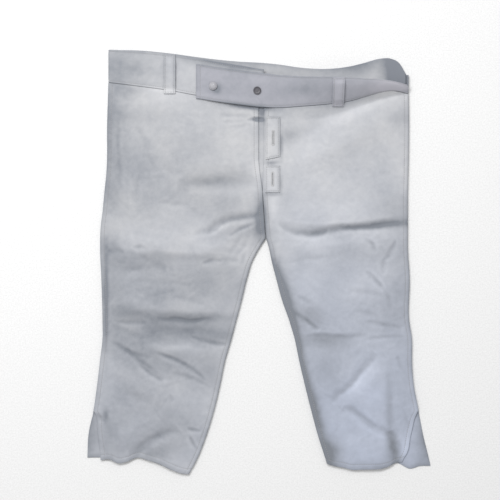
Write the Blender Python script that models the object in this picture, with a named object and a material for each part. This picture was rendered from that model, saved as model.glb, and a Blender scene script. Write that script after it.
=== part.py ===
"""Knee-length white leather trousers, laid on their back with the front up.

Each piece that a maker would cut is one solid: two fronts, two backs, a waistband in three
pieces, a fly underlap with two fly tabs, two belt loops and two buttons. Left and right are
the wearer's own, so the right leg lies at -X. +Y points to the waist and +Z up, and the
backs rest flat at Z = 0. Sizes are in millimetres until a mesh is made.
"""

import math

import bmesh
import bpy
import numpy as np

# Driving dimensions
MM = 0.001
LEATHER = 1.6
BAND_LEATHER = 2.6
BAND_STEP = 0.6
SEAM_GAP = 0.3
SIDE_HEIGHT = 6.2
CROWN_REACH = 34.0
LOWEST_TOP = 3.8
CENTRE_FRONT = 4.0
CROTCH = (12.0, 40.0)
VENT_TOP = -254.0
VENT_RELEASE = 14.0
WAIST_LEVEL = 300.0
BAND_SIDE_LEVELS = {"right": 330.0, "left": 290.0}
BAND_OVERLAP_END = 8.0
BAND_TAB_END = -107.0
BAND_TAB_RAMP = (10.0, 36.0)

# How far the side seams stand from the centre, by height up the garment.
SIDE_SEAMS = {
    "y": (365, 305, 237, 156, 115, 84, 60, 23, -28, -99, -133, -167, -210, -252, -295, -336, -368),
    "right": (-257, -257, -259, -260, -264, -267, -270, -271, -269, -267, -267, -271, -276, -282, -291, -293, -294),
    "left": (255, 255, 256, 255, 254, 254, 254, 254, 257, 256, 261, 261, 264, 272, 280, 290, 297),
}
# The centre front line above the crotch, how far the fly stands open across it,
# and how far the fronts roll down to the crotch seam.
FLY = {
    "y": (40, 46, 56, 68, 86, 118, 126, 152, 172, 300),
    "centre": (12, 11.4, 10.6, 9.6, 8.0, 6.0, 5.6, 4.6, 4.0, 4.0),
    "gap": (0.3, 0.3, 0.3, 0.3, 0.3, 0.3, 1.2, 6.5, 9.5, 9.5),
    "roll": (1.0, 0.9, 0.6, 0.3, 0.1, 0, 0, 0, 0, 0),
}
# The two inseams below the crotch.
INSEAMS = {
    "y": (40, 23, 3, -28, -65, -99, -133, -167, -210, -252, -295, -336, -368),
    "right": (11.85, 1, -10, -20, -29, -38, -47, -57, -66, -76, -89, -105, -122),
    "left": (12.15, 17, 21, 29, 39, 51, 61, 68, 78, 88.5, 100, 113, 122),
}
# How much the middle of each leg stands above its sides.
CROWN = {
    "y": (-360, -330, -260, -190, -120, -60, 0, 60, 150, 240, 360),
    "height": (0.6, 1.2, 3, 4, 4, 5, 5, 5, 4.5, 3, 1),
}
# How far each front's side edge draws in from the back's along the open vent.
VENT = {
    "y": (-360, -342, -325, -303, -286, -264, VENT_TOP),
    "right": (23, 23, 22, 18, 14, 7, 0),
    "left": (50, 47, 34, 24, 17, 7, 0),
}
# The waistband's edges across the garment. The left band runs on past the centre as a tab.
WAIST = {
    "x": (-257, -202, -151, -107, -75, -32, 5, 36, 70, 121, 155, 180, 206, 226, 240, 252),
    "right_top": (361, 358, 353, 346, 341, 334, 327, 323, 321, 320, 320, 320, 320, 320, 320, 320),
    "right_seam": (305, 298, 291, 283, 279, 273, 269, 265, 262, 262, 262, 262, 262, 262, 262, 262),
    "left_top": (336, 336, 336, 336, 331, 325, 320, 316, 313, 311, 309, 307, 305, 303, 301, 299),
    "left_seam": (277, 277, 277, 277, 272, 266, 262, 261, 263, 267, 272, 279, 286, 289, 288, 286),
    "back_top": (361, 360, 355, 349, 345, 341, 339, 336, 331, 329, 333, 339, 346, 346, 338, 318),
    "back_seam": (305, 301, 297, 293, 290, 285, 281, 278, 275, 275, 276, 277, 278, 278, 278, 278),
    "lift": (0, 0, 0, 0, 0, 1, 4, 9, 16, 24, 28, 30, 28, 22, 15, 7),
}
# The hollow below the lifted waist runs along this line, and the lift begins there.
LIFT_START = {"x": (-257, 41, 130, 206, 245, 260), "y": (205, 232, 250, 276, 285, 290)}
# Height of the hem along its line from the side (0) to the inseam (1), against a straight cut.
HEMS = {
    "place": (0, 0.1, 0.2, 0.3, 0.42, 0.54, 0.66, 0.78, 0.9, 1),
    "front_right": (0, 4, 0, 5, 15, 13, 10, 4, 0, 0),
    "front_left": (0, -2, -8, -11, -11, -11, -11, -7, -4, 0),
    "back_right": (0, 3, 5, 8, 18, 17, 13, 8, 4, 2),
    "back_left": (0, -1, -6, 2, 6, 3, 1, 0, 1, 2),
}
# Where the sides and inseams meet the hem.
HEM_CORNERS = {
    "front_right": (-339, -363),
    "front_left": (-342, -345),
    "back_right": (-335, -361),
    "back_left": (-349, -343),
}
# The largest folds: a ridge or trough along a bowed line, with its own width on each side of it.
FOLD_COLUMNS = ("x0", "y0", "x1", "y1", "bow", "height", "left_width", "right_width")
FOLDS = {
    "right hip roll": (-140, 164, 20, 160, 4, 3.0, 18, 18),
    "right hip hollow": (-140, 128, 12, 134, 2, -4.5, 12, 13),
    "right crotch crease": (6, 82, -124, 30, -3, -5.5, 9, 13),
    "right crotch ridge": (-10, 50, -110, 14, 0, 3.0, 13, 13),
    "right thigh ridge": (-262, 20, -36, 12, 6, 5.0, 24, 12),
    "right thigh hollow": (-266, -8, -140, -16, 0, -3.0, 12, 16),
    "right knee roll": (-262, -82, -34, -86, 4, 6.0, 24, 12),
    "right knee hollow": (-262, -116, -44, -124, 0, -6.0, 14, 16),
    "right shin ridge": (-200, -146, -46, -152, 0, 4.0, 11, 12),
    "right shin crease": (-268, -126, -160, -206, -4, -4.0, 9, 8),
    "right shin roll": (-262, -166, -160, -238, 0, 2.5, 16, 16),
    "right hem crease": (-216, -338, -110, -278, 10, -5.0, 10, 9),
    "right hem roll": (-262, -320, -170, -262, 0, 3.0, 18, 16),
    "left waist hollow": (46, 208, 210, 292, -2, -2.0, 14, 11),
    "left hip roll": (60, 176, 250, 262, -6, 4.0, 26, 24),
    "left thigh roll": (36, 78, 252, 92, -4, 4.5, 24, 12),
    "left thigh crease": (36, 62, 216, 64, -17, -6.0, 10, 8),
    "left thigh crease end": (190, 64, 254, 50, 2, -4.5, 9, 8),
    "left thigh ridge": (60, 26, 250, 36, 0, 3.0, 14, 20),
    "left inseam crease": (58, -82, 104, -116, 0, -3.5, 8, 8),
    "left knee crease": (58, -132, 184, -128, 0, -3.5, 8, 12),
    "left shin crease": (196, -156, 118, -236, 3, -4.5, 8, 9),
    "left shin ridge": (214, -176, 140, -250, 0, 3.5, 14, 14),
    "left hem crease": (140, -242, 234, -302, 0, -5.0, 8, 9),
    "left hem crease end": (216, -286, 240, -346, 4, -4.5, 9, 9),
    "left hem roll": (130, -290, 210, -356, 0, 3.0, 18, 18),
}

LEATHER_WHITE = (0.60, 0.61, 0.64, 1.0)
BAND_GREY = (0.50, 0.50, 0.55, 1.0)
HORN_DARK = (0.09, 0.085, 0.10, 1.0)

# Grid density of the walls
PANEL_ROWS = 46
PANEL_MIDDLE = 15
BACK_ROWS = 24
BACK_MIDDLE = 14
ROLL_STEPS = 2
BAND_ROWS = 7
BAND_MIDDLE = {"right": 22, "left": 34, "back": 26}
EDGE_BLEND = 0.14

# Small pieces
UNDERLAP = {"x": (-17, 26), "y": (112, 284), "cells": (5, 26)}
FLY_TABS = {
    "fly_tab_upper": {"x": (11, 36), "y": (173, 246), "slant": 5, "slit": (24, 210, 22)},
    "fly_tab_lower": {"x": (10.5, 35.5), "y": (117, 163), "slant": 0, "slit": (23, 140, 20)},
}
TAB_CELLS = (3, 9)
SLIT_WIDTH = 1.2
LOOP_WIDTH = 20.0
LOOP_LEATHER = 1.8
LOOP_BELLY = 2.6
LOOP_PLACES = {"belt_loop_right": -152.0, "belt_loop_left": 134.0}
LOOP_REACH = 6.0
LOOP_STEPS = 10
BUTTONS = {
    "button_light": {"x": -78.0, "y": 298.0, "radius": 7.0},
    "button_dark": {"x": -3.0, "y": 290.0, "radius": 6.6},
}
BUTTON_SIDES = 20


def smooth_at(table, key, value, at):
    """A smooth value of one table column: cubic pieces whose slope at a row is that of its neighbours' chord."""
    order = np.argsort(table[key])
    knots = np.array(table[key], float)[order]
    values = np.array(table[value], float)[order]
    slopes = np.gradient(values, knots)
    at = np.clip(np.asarray(at, float), knots[0], knots[-1])
    low = np.clip(np.searchsorted(knots, at) - 1, 0, len(knots) - 2)
    span = knots[low + 1] - knots[low]
    t = (at - knots[low]) / span
    return (
        values[low] * (1 + 2 * t) * (1 - t) ** 2
        + values[low + 1] * t * t * (3 - 2 * t)
        + span * (slopes[low] * t * (1 - t) ** 2 - slopes[low + 1] * t * t * (1 - t))
    )


def straight_at(table, key, value, at):
    """A value read along straight lines between the rows of a table."""
    order = np.argsort(table[key])
    return np.interp(at, np.array(table[key], float)[order], np.array(table[value], float)[order])


def smooth_step(t):
    """0 below 0, 1 above 1, and an even S between."""
    t = np.clip(t, 0, 1)
    return t * t * (3 - 2 * t)


def side_x(side, y):
    return smooth_at(SIDE_SEAMS, "y", side, y)


def inner_x(side, y):
    """The centre front edge above the crotch and the inseam below it."""
    sign = 1 if side == "left" else -1
    upper = straight_at(FLY, "y", "centre", y) + sign * straight_at(FLY, "y", "gap", y) / 2
    return np.where(y > CROTCH[1], upper, smooth_at(INSEAMS, "y", side, y))


def fold(x, y, row):
    """One fold: its height fades along its bowed line towards both ends, and as a bell to each side."""
    f = dict(zip(FOLD_COLUMNS, row))
    along_x, along_y = f["x1"] - f["x0"], f["y1"] - f["y0"]
    length = math.hypot(along_x, along_y)
    along_x, along_y = along_x / length, along_y / length
    s = ((x - f["x0"]) * along_x + (y - f["y0"]) * along_y) / length
    inside = np.clip(s, 0, 1)
    across = (y - f["y0"]) * along_x - (x - f["x0"]) * along_y - 4 * f["bow"] * inside * (1 - inside)
    width = np.where(across > 0, f["left_width"], f["right_width"])
    return f["height"] * (1 - np.abs(2 * inside - 1) ** 3) * np.exp(-((across / width) ** 2))


def waist_lift(x, y):
    """How far the waist stands open: nothing below the hollow, all of it at the band's top edge."""
    start = straight_at(LIFT_START, "x", "y", x)
    top = smooth_at(WAIST, "x", "left_top", x)
    return smooth_at(WAIST, "x", "lift", x) * smooth_step((y - start) / (top - start)) ** 0.8


def front_height(x, y):
    """Height of the fronts' outer face over the surface that the garment lies on."""
    x, y = np.asarray(x, float), np.asarray(y, float)
    on_left = x > straight_at(FLY, "y", "centre", y)
    from_side = np.where(on_left, side_x("left", y) - x, x - side_x("right", y))
    from_inseam = np.where(on_left, x - inner_x("left", y), inner_x("right", y) - x)
    from_crotch = np.hypot(x - CROTCH[0], y - CROTCH[1])
    from_inner = np.where(y > CROTCH[1], from_crotch, np.minimum(from_inseam, from_crotch))
    bulge = (1 - np.exp(-np.clip(from_side, 0, None) / CROWN_REACH)) * (
        1 - np.exp(-np.clip(from_inner, 0, None) / CROWN_REACH)
    )
    folds = sum(fold(x, y, row) for row in FOLDS.values())
    height = SIDE_HEIGHT + smooth_at(CROWN, "y", "height", y) * bulge + folds * bulge
    softness = 0.6
    height = LOWEST_TOP + softness * np.logaddexp(0, (height - LOWEST_TOP) / softness)
    return height + waist_lift(x, y)


def seam_height(side, y):
    """The seams lie halfway up the rolled edge, higher where the waist stands open."""
    edge = side_x(side, y)
    return (SIDE_HEIGHT + waist_lift(edge, y)) / 2


def columns(width, outer_roll, inner_roll, middle):
    """Distances across a row, close together on each rolled edge, and each point's roll angle there."""
    quarter = np.linspace(0, math.pi / 2, ROLL_STEPS + 1)
    arc = 1 - np.cos(quarter)
    flat = np.linspace(0, 1, middle + 2)[1:-1]
    outer = outer_roll[:, None] * arc
    inner = (width - inner_roll)[:, None] + inner_roll[:, None] * np.sin(quarter)
    span = (width - outer_roll - inner_roll)[:, None]
    places = np.concatenate([outer, outer_roll[:, None] + span * flat, inner], axis=1)
    level = np.full(middle + ROLL_STEPS + 1, math.pi / 2)
    return places, np.concatenate([quarter, level]), np.concatenate([level, quarter[::-1]])


def wall_points(plan, height, seams, rolls, angles, inward, thickness, upward):
    """Outer and inner faces of a wall whose two edges roll over to their seams.

    upward is 1 for a front, whose edges roll down, and -1 for a back, whose edges roll up.
    A roll of 0 leaves an edge flat, and 1 turns it right over.
    """
    x, y = plan
    turned = [roll[:, None] * (1 - np.sin(angle)) for roll, angle in zip(rolls, angles)]
    z = height
    for seam, turn in zip(seams, turned):
        z = z - turn * (height - seam[:, None])
    sideways = sum(
        sign * roll[:, None] * np.cos(angle) for sign, roll, angle in zip((1, -1), rolls, angles)
    )
    drop = 1 - turned[0] - turned[1]
    outer = np.stack([x, y, z], axis=-1)
    inner = np.stack(
        [
            x + thickness * sideways * inward[0],
            y + thickness * sideways * inward[1],
            z - upward * thickness * drop,
        ],
        axis=-1,
    )
    return outer, inner


def panel_plan(side, name, is_front, rows, middle):
    """Plan of a leg panel: rows run from the side to the centre front or inseam, from waist to hem."""
    v = np.linspace(0, 1, rows + 1)
    seam = f"{side}_seam" if is_front else "back_seam"
    hem_outer, hem_inner = HEM_CORNERS[name]
    waist_outer = smooth_at(WAIST, "x", seam, side_x(side, WAIST_LEVEL)) - SEAM_GAP
    waist_inner = smooth_at(WAIST, "x", seam, inner_x(side, WAIST_LEVEL)) - SEAM_GAP
    y_outer = waist_outer + (hem_outer - waist_outer) * v
    y_inner = waist_inner + (hem_inner - waist_inner) * v
    x_outer = side_x(side, y_outer)
    if is_front:
        x_outer = x_outer - np.sign(x_outer) * smooth_at(VENT, "y", side, y_outer)
        x_inner = inner_x(side, y_inner)
    else:
        closed = straight_at(FLY, "y", "centre", y_inner) + np.sign(x_outer) * SEAM_GAP / 2
        x_inner = np.where(y_inner > CROTCH[1], closed, inner_x(side, y_inner))
    width = np.abs(x_inner - x_outer)
    outer_roll = seam_height(side, y_outer)
    inner_roll = np.full_like(width, SIDE_HEIGHT / 2)
    places, outer_angle, inner_angle = columns(width, outer_roll, inner_roll, middle)
    u = places / width[:, None]
    x = x_outer[:, None] + (x_inner - x_outer)[:, None] * u
    y = y_outer[:, None] + (y_inner - y_outer)[:, None] * u
    top_line = smooth_at(WAIST, "x", seam, x[0]) - SEAM_GAP
    y = y + (top_line - y[0]) * (1 - smooth_step(v / EDGE_BLEND))[:, None]
    near_hem = smooth_step((v - 1 + EDGE_BLEND) / EDGE_BLEND)[:, None]
    y = y + smooth_at(HEMS, "place", name, u[-1]) * near_hem
    open_vent = smooth_step((VENT_TOP - y_outer) / VENT_RELEASE)
    rolls = (1 - open_vent, np.clip(straight_at(FLY, "y", "roll", y_inner), 0, 1))
    inward = (np.sign(x_inner - x_outer)[:, None], 0)
    return (x, y), (y_outer, y_inner), rolls, (outer_angle, inner_angle), inward


def front_panel(side):
    name = f"front_{side}"
    plan, (y_outer, _), rolls, angles, inward = panel_plan(side, name, True, PANEL_ROWS, PANEL_MIDDLE)
    seams = (seam_height(side, y_outer) + SEAM_GAP / 2, np.full(len(y_outer), (SIDE_HEIGHT + SEAM_GAP) / 2))
    return wall_points(plan, front_height(*plan), seams, rolls, angles, inward, LEATHER, 1)


def back_panel(side):
    name = f"back_{side}"
    plan, (y_outer, _), rolls, angles, inward = panel_plan(side, name, False, BACK_ROWS, BACK_MIDDLE)
    seams = (seam_height(side, y_outer) - SEAM_GAP / 2, np.full(len(y_outer), (SIDE_HEIGHT - SEAM_GAP) / 2))
    return wall_points(plan, np.zeros_like(plan[0]), seams, rolls, angles, inward, LEATHER, -1)


def band_points(x, top, bottom, height, seams, rolls, angles, inward, upward):
    """A waistband piece: straight rows from its lower seam to its top edge."""
    across = np.linspace(0, 1, BAND_ROWS + 1)[:, None]
    y = smooth_at(WAIST, "x", bottom, x) * (1 - across) + smooth_at(WAIST, "x", top, x) * across
    plan = (np.broadcast_to(x, y.shape), y)
    seams = [s(y) if callable(s) else np.full(len(across), s) for s in seams]
    rolls = [np.full(len(across), float(roll)) for roll in rolls]
    return wall_points(plan, height(*plan), seams, rolls, angles, inward, BAND_LEATHER, upward)


def right_band_height(x, y):
    return front_height(x, y) + BAND_STEP


def left_band_height(x, y):
    """Level with the right band at the side, and raised on to it past the centre front."""
    start, end = BAND_TAB_RAMP
    over = 1 - smooth_step((x - start) / (end - start))
    return right_band_height(x, y) + over * (BAND_LEATHER + SEAM_GAP)


def side_roll(side):
    """Width of the rolled end of a band at one side."""
    return np.array([float(seam_height(side, BAND_SIDE_LEVELS[side]))])


def side_seam(side, column, shift):
    """Height of a band's end at each of its rows."""
    return lambda y: seam_height(side, y[:, column]) + shift


def right_band():
    """From the right side seam to just past the centre front, where the left band covers it."""
    start = side_x("right", BAND_SIDE_LEVELS["right"])
    width = np.array([BAND_OVERLAP_END - start])
    places, *angles = columns(width, side_roll("right"), side_roll("right"), BAND_MIDDLE["right"])
    seams = (side_seam("right", 0, SEAM_GAP / 2), 0.0)
    return band_points(
        start + places[0], "right_top", "right_seam", right_band_height, seams, (1, 0), angles, (1, 0), 1
    )


def left_band():
    """From the left side seam across the centre front to the end of its tab."""
    start = side_x("left", BAND_SIDE_LEVELS["left"])
    width = np.array([start - BAND_TAB_END])
    places, *angles = columns(width, side_roll("left"), side_roll("right"), BAND_MIDDLE["left"])
    seams = (side_seam("left", 0, SEAM_GAP), 0.0)
    return band_points(
        start - places[0], "left_top", "left_seam", left_band_height, seams, (1, 0), angles, (-1, 0), 1
    )


def back_band():
    """One piece across the back, flat on the ground, with both ends rolled up to the side seams."""
    start, end = (side_x(side, BAND_SIDE_LEVELS[side]) for side in ("right", "left"))
    width = np.array([end - start])
    places, *angles = columns(width, side_roll("right"), side_roll("left"), BAND_MIDDLE["back"])
    seams = (side_seam("right", 0, -SEAM_GAP / 2), side_seam("left", -1, -SEAM_GAP / 2))
    return band_points(
        start + places[0], "back_top", "back_seam", ground, seams, (1, 1), angles, (1, 0), -1
    )


def ground(x, y):
    return np.zeros_like(y)


def patch_points(x_range, y_range, cells, under, over, slant=0.0):
    """A flat piece that follows the front: its two faces lie at given distances from the front's face."""
    across = np.linspace(0, 1, cells[0] + 1)
    up = np.linspace(0, 1, cells[1] + 1)[:, None]
    x = x_range[0] + (x_range[1] - x_range[0]) * across + 0 * up
    y = y_range[1] + (y_range[0] - y_range[1]) * up + slant * up * across
    height = front_height(x, y)
    return np.stack([x, y, height + over], axis=-1), np.stack([x, y, height + under], axis=-1)


def loop_points(x_middle, band_side, band_height):
    """A belt loop: both ends lie on the band, and its middle stands off it."""
    bottom = float(smooth_at(WAIST, "x", f"{band_side}_seam", x_middle)) - LOOP_REACH
    top = float(smooth_at(WAIST, "x", f"{band_side}_top", x_middle)) - 1.0
    across = np.linspace(-LOOP_WIDTH / 2, LOOP_WIDTH / 2, 3)
    t = np.linspace(0, 1, LOOP_STEPS + 1)[:, None]
    x = x_middle + across + 0 * t
    y = top + (bottom - top) * t + 0 * across
    belly = LOOP_BELLY * np.sin(math.pi * t) ** 0.7
    under = band_height(x, y) + SEAM_GAP + belly
    return np.stack([x, y, under + LOOP_LEATHER], axis=-1), np.stack([x, y, under], axis=-1)


def material(name, colour, roughness, metallic=0.0):
    made = bpy.data.materials.new(name)
    made.use_nodes = True
    shader = made.node_tree.nodes["Principled BSDF"]
    shader.inputs["Base Color"].default_value = colour
    shader.inputs["Roughness"].default_value = roughness
    shader.inputs["Metallic"].default_value = metallic
    return made


def add_object(name, bm, finish):
    bmesh.ops.recalc_face_normals(bm, faces=bm.faces)
    mesh = bpy.data.meshes.new(name)
    bm.to_mesh(mesh)
    bm.free()
    mesh.shade_smooth()
    mesh.set_sharp_from_angle(angle=math.radians(50))
    mesh.materials.append(finish)
    made = bpy.data.objects.new(name, mesh)
    bpy.context.scene.collection.objects.link(made)
    return made


def add_wall(name, faces, finish):
    """A closed wall from its outer and inner grids of points, joined round the rim."""
    outer, inner = faces
    bm = bmesh.new()
    sheets = [[[bm.verts.new(p * MM) for p in row] for row in grid] for grid in (outer, inner)]
    rows, cols = outer.shape[:2]
    for grid in sheets:
        for j in range(rows - 1):
            for i in range(cols - 1):
                bm.faces.new((grid[j][i], grid[j][i + 1], grid[j + 1][i + 1], grid[j + 1][i]))
    rim = (
        [(0, i) for i in range(cols - 1)]
        + [(j, cols - 1) for j in range(rows - 1)]
        + [(rows - 1, i) for i in range(cols - 1, 0, -1)]
        + [(j, 0) for j in range(rows - 1, 0, -1)]
    )
    for (j0, i0), (j1, i1) in zip(rim, rim[1:] + rim[:1]):
        bm.faces.new((sheets[0][j0][i0], sheets[1][j0][i0], sheets[1][j1][i1], sheets[0][j1][i1]))
    return add_object(name, bm, finish)


def cut_slit(tab, place):
    """The buttonhole: a narrow cutter right through the tab."""
    x, y, length = place
    bm = bmesh.new()
    bmesh.ops.create_cube(bm, size=1.0)
    bmesh.ops.scale(bm, vec=(SLIT_WIDTH * MM, length * MM, 30 * MM), verts=bm.verts)
    bmesh.ops.translate(bm, vec=(x * MM, y * MM, float(front_height(x, y)) * MM), verts=bm.verts)
    cutter = add_object(f"{tab.name}_slit", bm, tab.data.materials[0])
    cutter.hide_render = True
    cutter.display_type = "WIRE"
    cut = tab.modifiers.new("buttonhole", "BOOLEAN")
    cut.operation = "DIFFERENCE"
    cut.object = cutter


def add_button(name, place, finish, domed):
    """A turned button, seated on the band by its shank: a dome, or a rim round a dished middle."""
    radius = place["radius"]
    ground = float(left_band_height(place["x"], place["y"])) + SEAM_GAP
    if domed:
        profile = ((0, 0), (2.2, 0), (2.2, 0.9), (radius - 0.5, 0.9), (radius, 1.5), (radius - 0.6, 2.4))
        profile += ((radius * 0.6, 3.3), (0, 3.7))
    else:
        profile = ((0, 0), (2.4, 0), (2.4, 0.8), (radius - 0.4, 0.8), (radius, 1.3), (radius - 0.3, 2.2))
        profile += ((radius - 1.3, 2.3), (radius - 2.0, 1.7), (0, 1.7))
    bm = bmesh.new()
    points = [bm.verts.new((r * MM, 0, z * MM)) for r, z in profile]
    edges = [bm.edges.new(pair) for pair in zip(points, points[1:])]
    bmesh.ops.spin(
        bm,
        geom=points + edges,
        cent=(0, 0, 0),
        axis=(0, 0, 1),
        angle=math.tau,
        steps=BUTTON_SIDES,
    )
    bmesh.ops.remove_doubles(bm, verts=bm.verts, dist=0.00001)
    button = add_object(name, bm, finish)
    slope_x, slope_y = band_slope(place["x"], place["y"])
    button.rotation_euler = (math.atan(slope_y), -math.atan(slope_x), 0)
    tilt_room = radius * math.hypot(slope_x, slope_y) * 0.4
    button.location = (place["x"] * MM, place["y"] * MM, (ground + tilt_room) * MM)
    return button


def band_slope(x, y):
    """Rise of the band's face towards +X and +Y, over a button's width."""
    reach = 4.0
    return tuple(
        float(left_band_height(x + dx, y + dy) - left_band_height(x - dx, y - dy)) / (2 * reach)
        for dx, dy in ((reach, 0), (0, reach))
    )


def clear_scene():
    for old in list(bpy.data.objects):
        bpy.data.objects.remove(old)


def main():
    clear_scene()
    leather = material("white_leather", LEATHER_WHITE, 0.75)
    band = material("band_leather", BAND_GREY, 0.78)
    horn = material("dark_horn", HORN_DARK, 0.35)
    for side in ("right", "left"):
        add_wall(f"front_{side}", front_panel(side), leather)
        add_wall(f"back_{side}", back_panel(side), leather)
    add_wall("waistband_right", right_band(), band)
    add_wall("waistband_left", left_band(), band)
    add_wall("waistband_back", back_band(), band)
    below = -LEATHER - 2 * SEAM_GAP
    lap = patch_points(UNDERLAP["x"], UNDERLAP["y"], UNDERLAP["cells"], below - LEATHER, below)
    add_wall("fly_underlap", lap, leather)
    for name, tab in FLY_TABS.items():
        faces = patch_points(tab["x"], tab["y"], TAB_CELLS, SEAM_GAP, SEAM_GAP + LEATHER, tab["slant"])
        cut_slit(add_wall(name, faces, leather), tab["slit"])
    add_wall("belt_loop_right", loop_points(LOOP_PLACES["belt_loop_right"], "right", right_band_height), band)
    add_wall("belt_loop_left", loop_points(LOOP_PLACES["belt_loop_left"], "left", left_band_height), band)
    add_button("button_light", BUTTONS["button_light"], band, True)
    add_button("button_dark", BUTTONS["button_dark"], horn, False)


main()
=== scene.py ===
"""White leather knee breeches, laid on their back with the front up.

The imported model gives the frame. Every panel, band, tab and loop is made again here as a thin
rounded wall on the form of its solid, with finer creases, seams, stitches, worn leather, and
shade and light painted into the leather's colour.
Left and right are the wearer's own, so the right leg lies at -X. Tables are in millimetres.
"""

import math

import bpy
import numpy as np
from bpy.props import FloatProperty, FloatVectorProperty, PointerProperty
from bpy.types import Operator, Panel, PropertyGroup
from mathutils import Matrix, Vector


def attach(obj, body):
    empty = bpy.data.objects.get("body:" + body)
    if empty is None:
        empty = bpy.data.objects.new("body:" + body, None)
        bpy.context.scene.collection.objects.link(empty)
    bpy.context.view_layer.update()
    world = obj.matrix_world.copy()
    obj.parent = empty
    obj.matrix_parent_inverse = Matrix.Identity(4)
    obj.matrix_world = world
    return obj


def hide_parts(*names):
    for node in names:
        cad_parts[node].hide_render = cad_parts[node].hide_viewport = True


bl_info = {
    "name": "Leather Breeches",
    "version": (1, 0, 0),
    "blender": (4, 5, 0),
    "location": "View3D > Sidebar > Breeches",
    "description": "Leather knee breeches laid flat, piece by piece",
    "category": "Add Mesh",
}

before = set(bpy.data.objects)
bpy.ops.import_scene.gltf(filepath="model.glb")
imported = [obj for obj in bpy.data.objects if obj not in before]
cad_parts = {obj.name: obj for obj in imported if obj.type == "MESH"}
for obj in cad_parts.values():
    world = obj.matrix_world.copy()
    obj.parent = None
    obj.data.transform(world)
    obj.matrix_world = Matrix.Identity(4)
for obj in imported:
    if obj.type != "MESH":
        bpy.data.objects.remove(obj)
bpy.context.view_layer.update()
MM = 0.001

# Leather, seams and openings
LEATHER = 1.6
BAND_LEATHER = 2.6
BAND_STEP = 0.6
BAND_DEPTH = 57.0
SEAM_GAP = 0.3
SIDE_HEIGHT = 6.2
CROWN_REACH = 34.0
LOWEST_TOP = 3.8
LOWEST_SOFTNESS = 0.6
CROTCH = (12.0, 40.0)
VENT_TOP = -254.0
VENT_RELEASE = 14.0
VENT_DROP = 2.2
VENT_REACH = 16.0
WAIST_LEVEL = 300.0
BAND_SIDE_LEVELS = {"right": 330.0, "left": 290.0}
BAND_OVERLAP_END = 8.0
BAND_TAB_END = -107.0
BAND_TAB_RAMP = (10.0, 36.0)
TAB_CURL = 2.0
TAB_CURL_DEPTH = 18.0
TAB_CURL_START = 12.0
TAB_CURL_RAMPS = (30.0, 40.0)

# Shares and a power, without a unit
EDGE_BLEND = 0.14
LIFT_POWER = 0.8
CREASE_FADE = 0.35
CREASE_SHARE = 0.8

# How far the side seams stand from the centre, by height up the garment
SIDE_SEAMS = {
    "y": (365, 305, 237, 156, 115, 84, 60, 23, -28)
    + (-99, -133, -167, -210, -252, -295, -336, -368),
    "right": (-257, -257, -259, -260, -264, -267, -270, -271, -269)
    + (-267, -267, -271, -276, -282, -291, -293, -294),
    "left": (255, 255, 256, 255, 254, 254, 254, 254, 257)
    + (256, 261, 261, 264, 272, 280, 290, 297),
}
# The centre front line above the crotch, the fly's opening and how far the fronts roll down
FLY = {
    "y": (40, 46, 56, 68, 86, 118, 126, 152, 172, 300),
    "centre": (12, 11.4, 10.6, 9.6, 8.0, 6.0, 5.6, 4.6, 4.0, 4.0),
    "gap": (0.3, 0.3, 0.3, 0.3, 0.3, 0.3, 1.2, 6.5, 9.5, 9.5),
    "roll": (1.0, 0.9, 0.6, 0.3, 0.1, 0, 0, 0, 0, 0),
}
# The inseams below the crotch, by height up the garment
INSEAMS = {
    "y": (40, 23, 3, -28, -65, -99, -133, -167, -210, -252, -295, -336, -368),
    "right": (11.85, 1, -10, -20, -29, -38, -47, -57, -66, -76, -89, -105, -122),
    "left": (12.15, 17, 21, 29, 39, 51, 61, 68, 78, 88.5, 100, 113, 122),
}
# How high the middle of a leg stands over its edges, by height up the garment
CROWN = {
    "y": (-360, -330, -260, -190, -120, -60, 0, 60, 150, 240, 360),
    "height": (0.6, 1.2, 3, 4, 4, 5, 5, 5, 4.5, 3, 1),
}
# How far each front stands back from its side seam where the vent is open
VENT = {
    "y": (-360, -342, -325, -303, -286, -264, VENT_TOP),
    "right": (23, 23, 22, 18, 14, 7, 0),
    "left": (50, 47, 34, 24, 17, 7, 0),
}
# The waistband's upper and lower edges across the garment, and how far the waist stands open
WAIST = {
    "x": (-257, -202, -151, -107, -75, -32, 5, 36, 70, 121, 155, 180, 206, 226, 240, 252),
    "right_top": (361, 358, 353, 346, 341, 334, 327, 323, 321, 320, 320, 320, 320, 320, 320, 320),
    "right_seam": (305, 298, 291, 283, 279, 273, 269, 265, 262, 262, 262, 262, 262, 262, 262, 262),
    "left_top": (336, 336, 336, 336, 331, 325, 320, 316, 313, 311, 309, 307, 305, 303, 301, 299),
    "left_seam": (277, 277, 277, 277, 272, 266, 262, 261, 263, 267, 272, 279, 286, 289, 288, 286),
    "back_top": (361, 360, 355, 349, 345, 341, 339, 336, 331, 329, 333, 339, 346, 346, 338, 318),
    "back_seam": (305, 301, 297, 293, 290, 285, 281, 278, 275, 275, 276, 277, 278, 278, 278, 278),
    "lift": (0, 0, 0, 0, 0, 1, 4, 9, 16, 24, 28, 30, 28, 22, 15, 7),
}
# The height up the garment from which it opens, by place across it
LIFT_START = {"x": (-257, 41, 130, 206, 245, 260), "y": (205, 232, 250, 276, 285, 290)}
# How far each hem lies above the line between its corners, from the side inwards
HEMS = {
    "place": (0, 0.1, 0.2, 0.3, 0.42, 0.54, 0.66, 0.78, 0.9, 1),
    "front_right": (0, 4, 0, 5, 15, 13, 10, 4, 0, 0),
    "front_left": (0, -2, -8, -11, -11, -11, -11, -7, -4, 0),
    "back_right": (0, 3, 5, 8, 18, 17, 13, 8, 4, 2),
    "back_left": (0, -1, -6, 2, 6, 3, 1, 0, 1, 2),
}
# The hems' outer and inner corners
HEM_CORNERS = {
    "front_right": (-339, -363),
    "front_left": (-342, -345),
    "back_right": (-335, -361),
    "back_left": (-349, -343),
}
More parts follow.
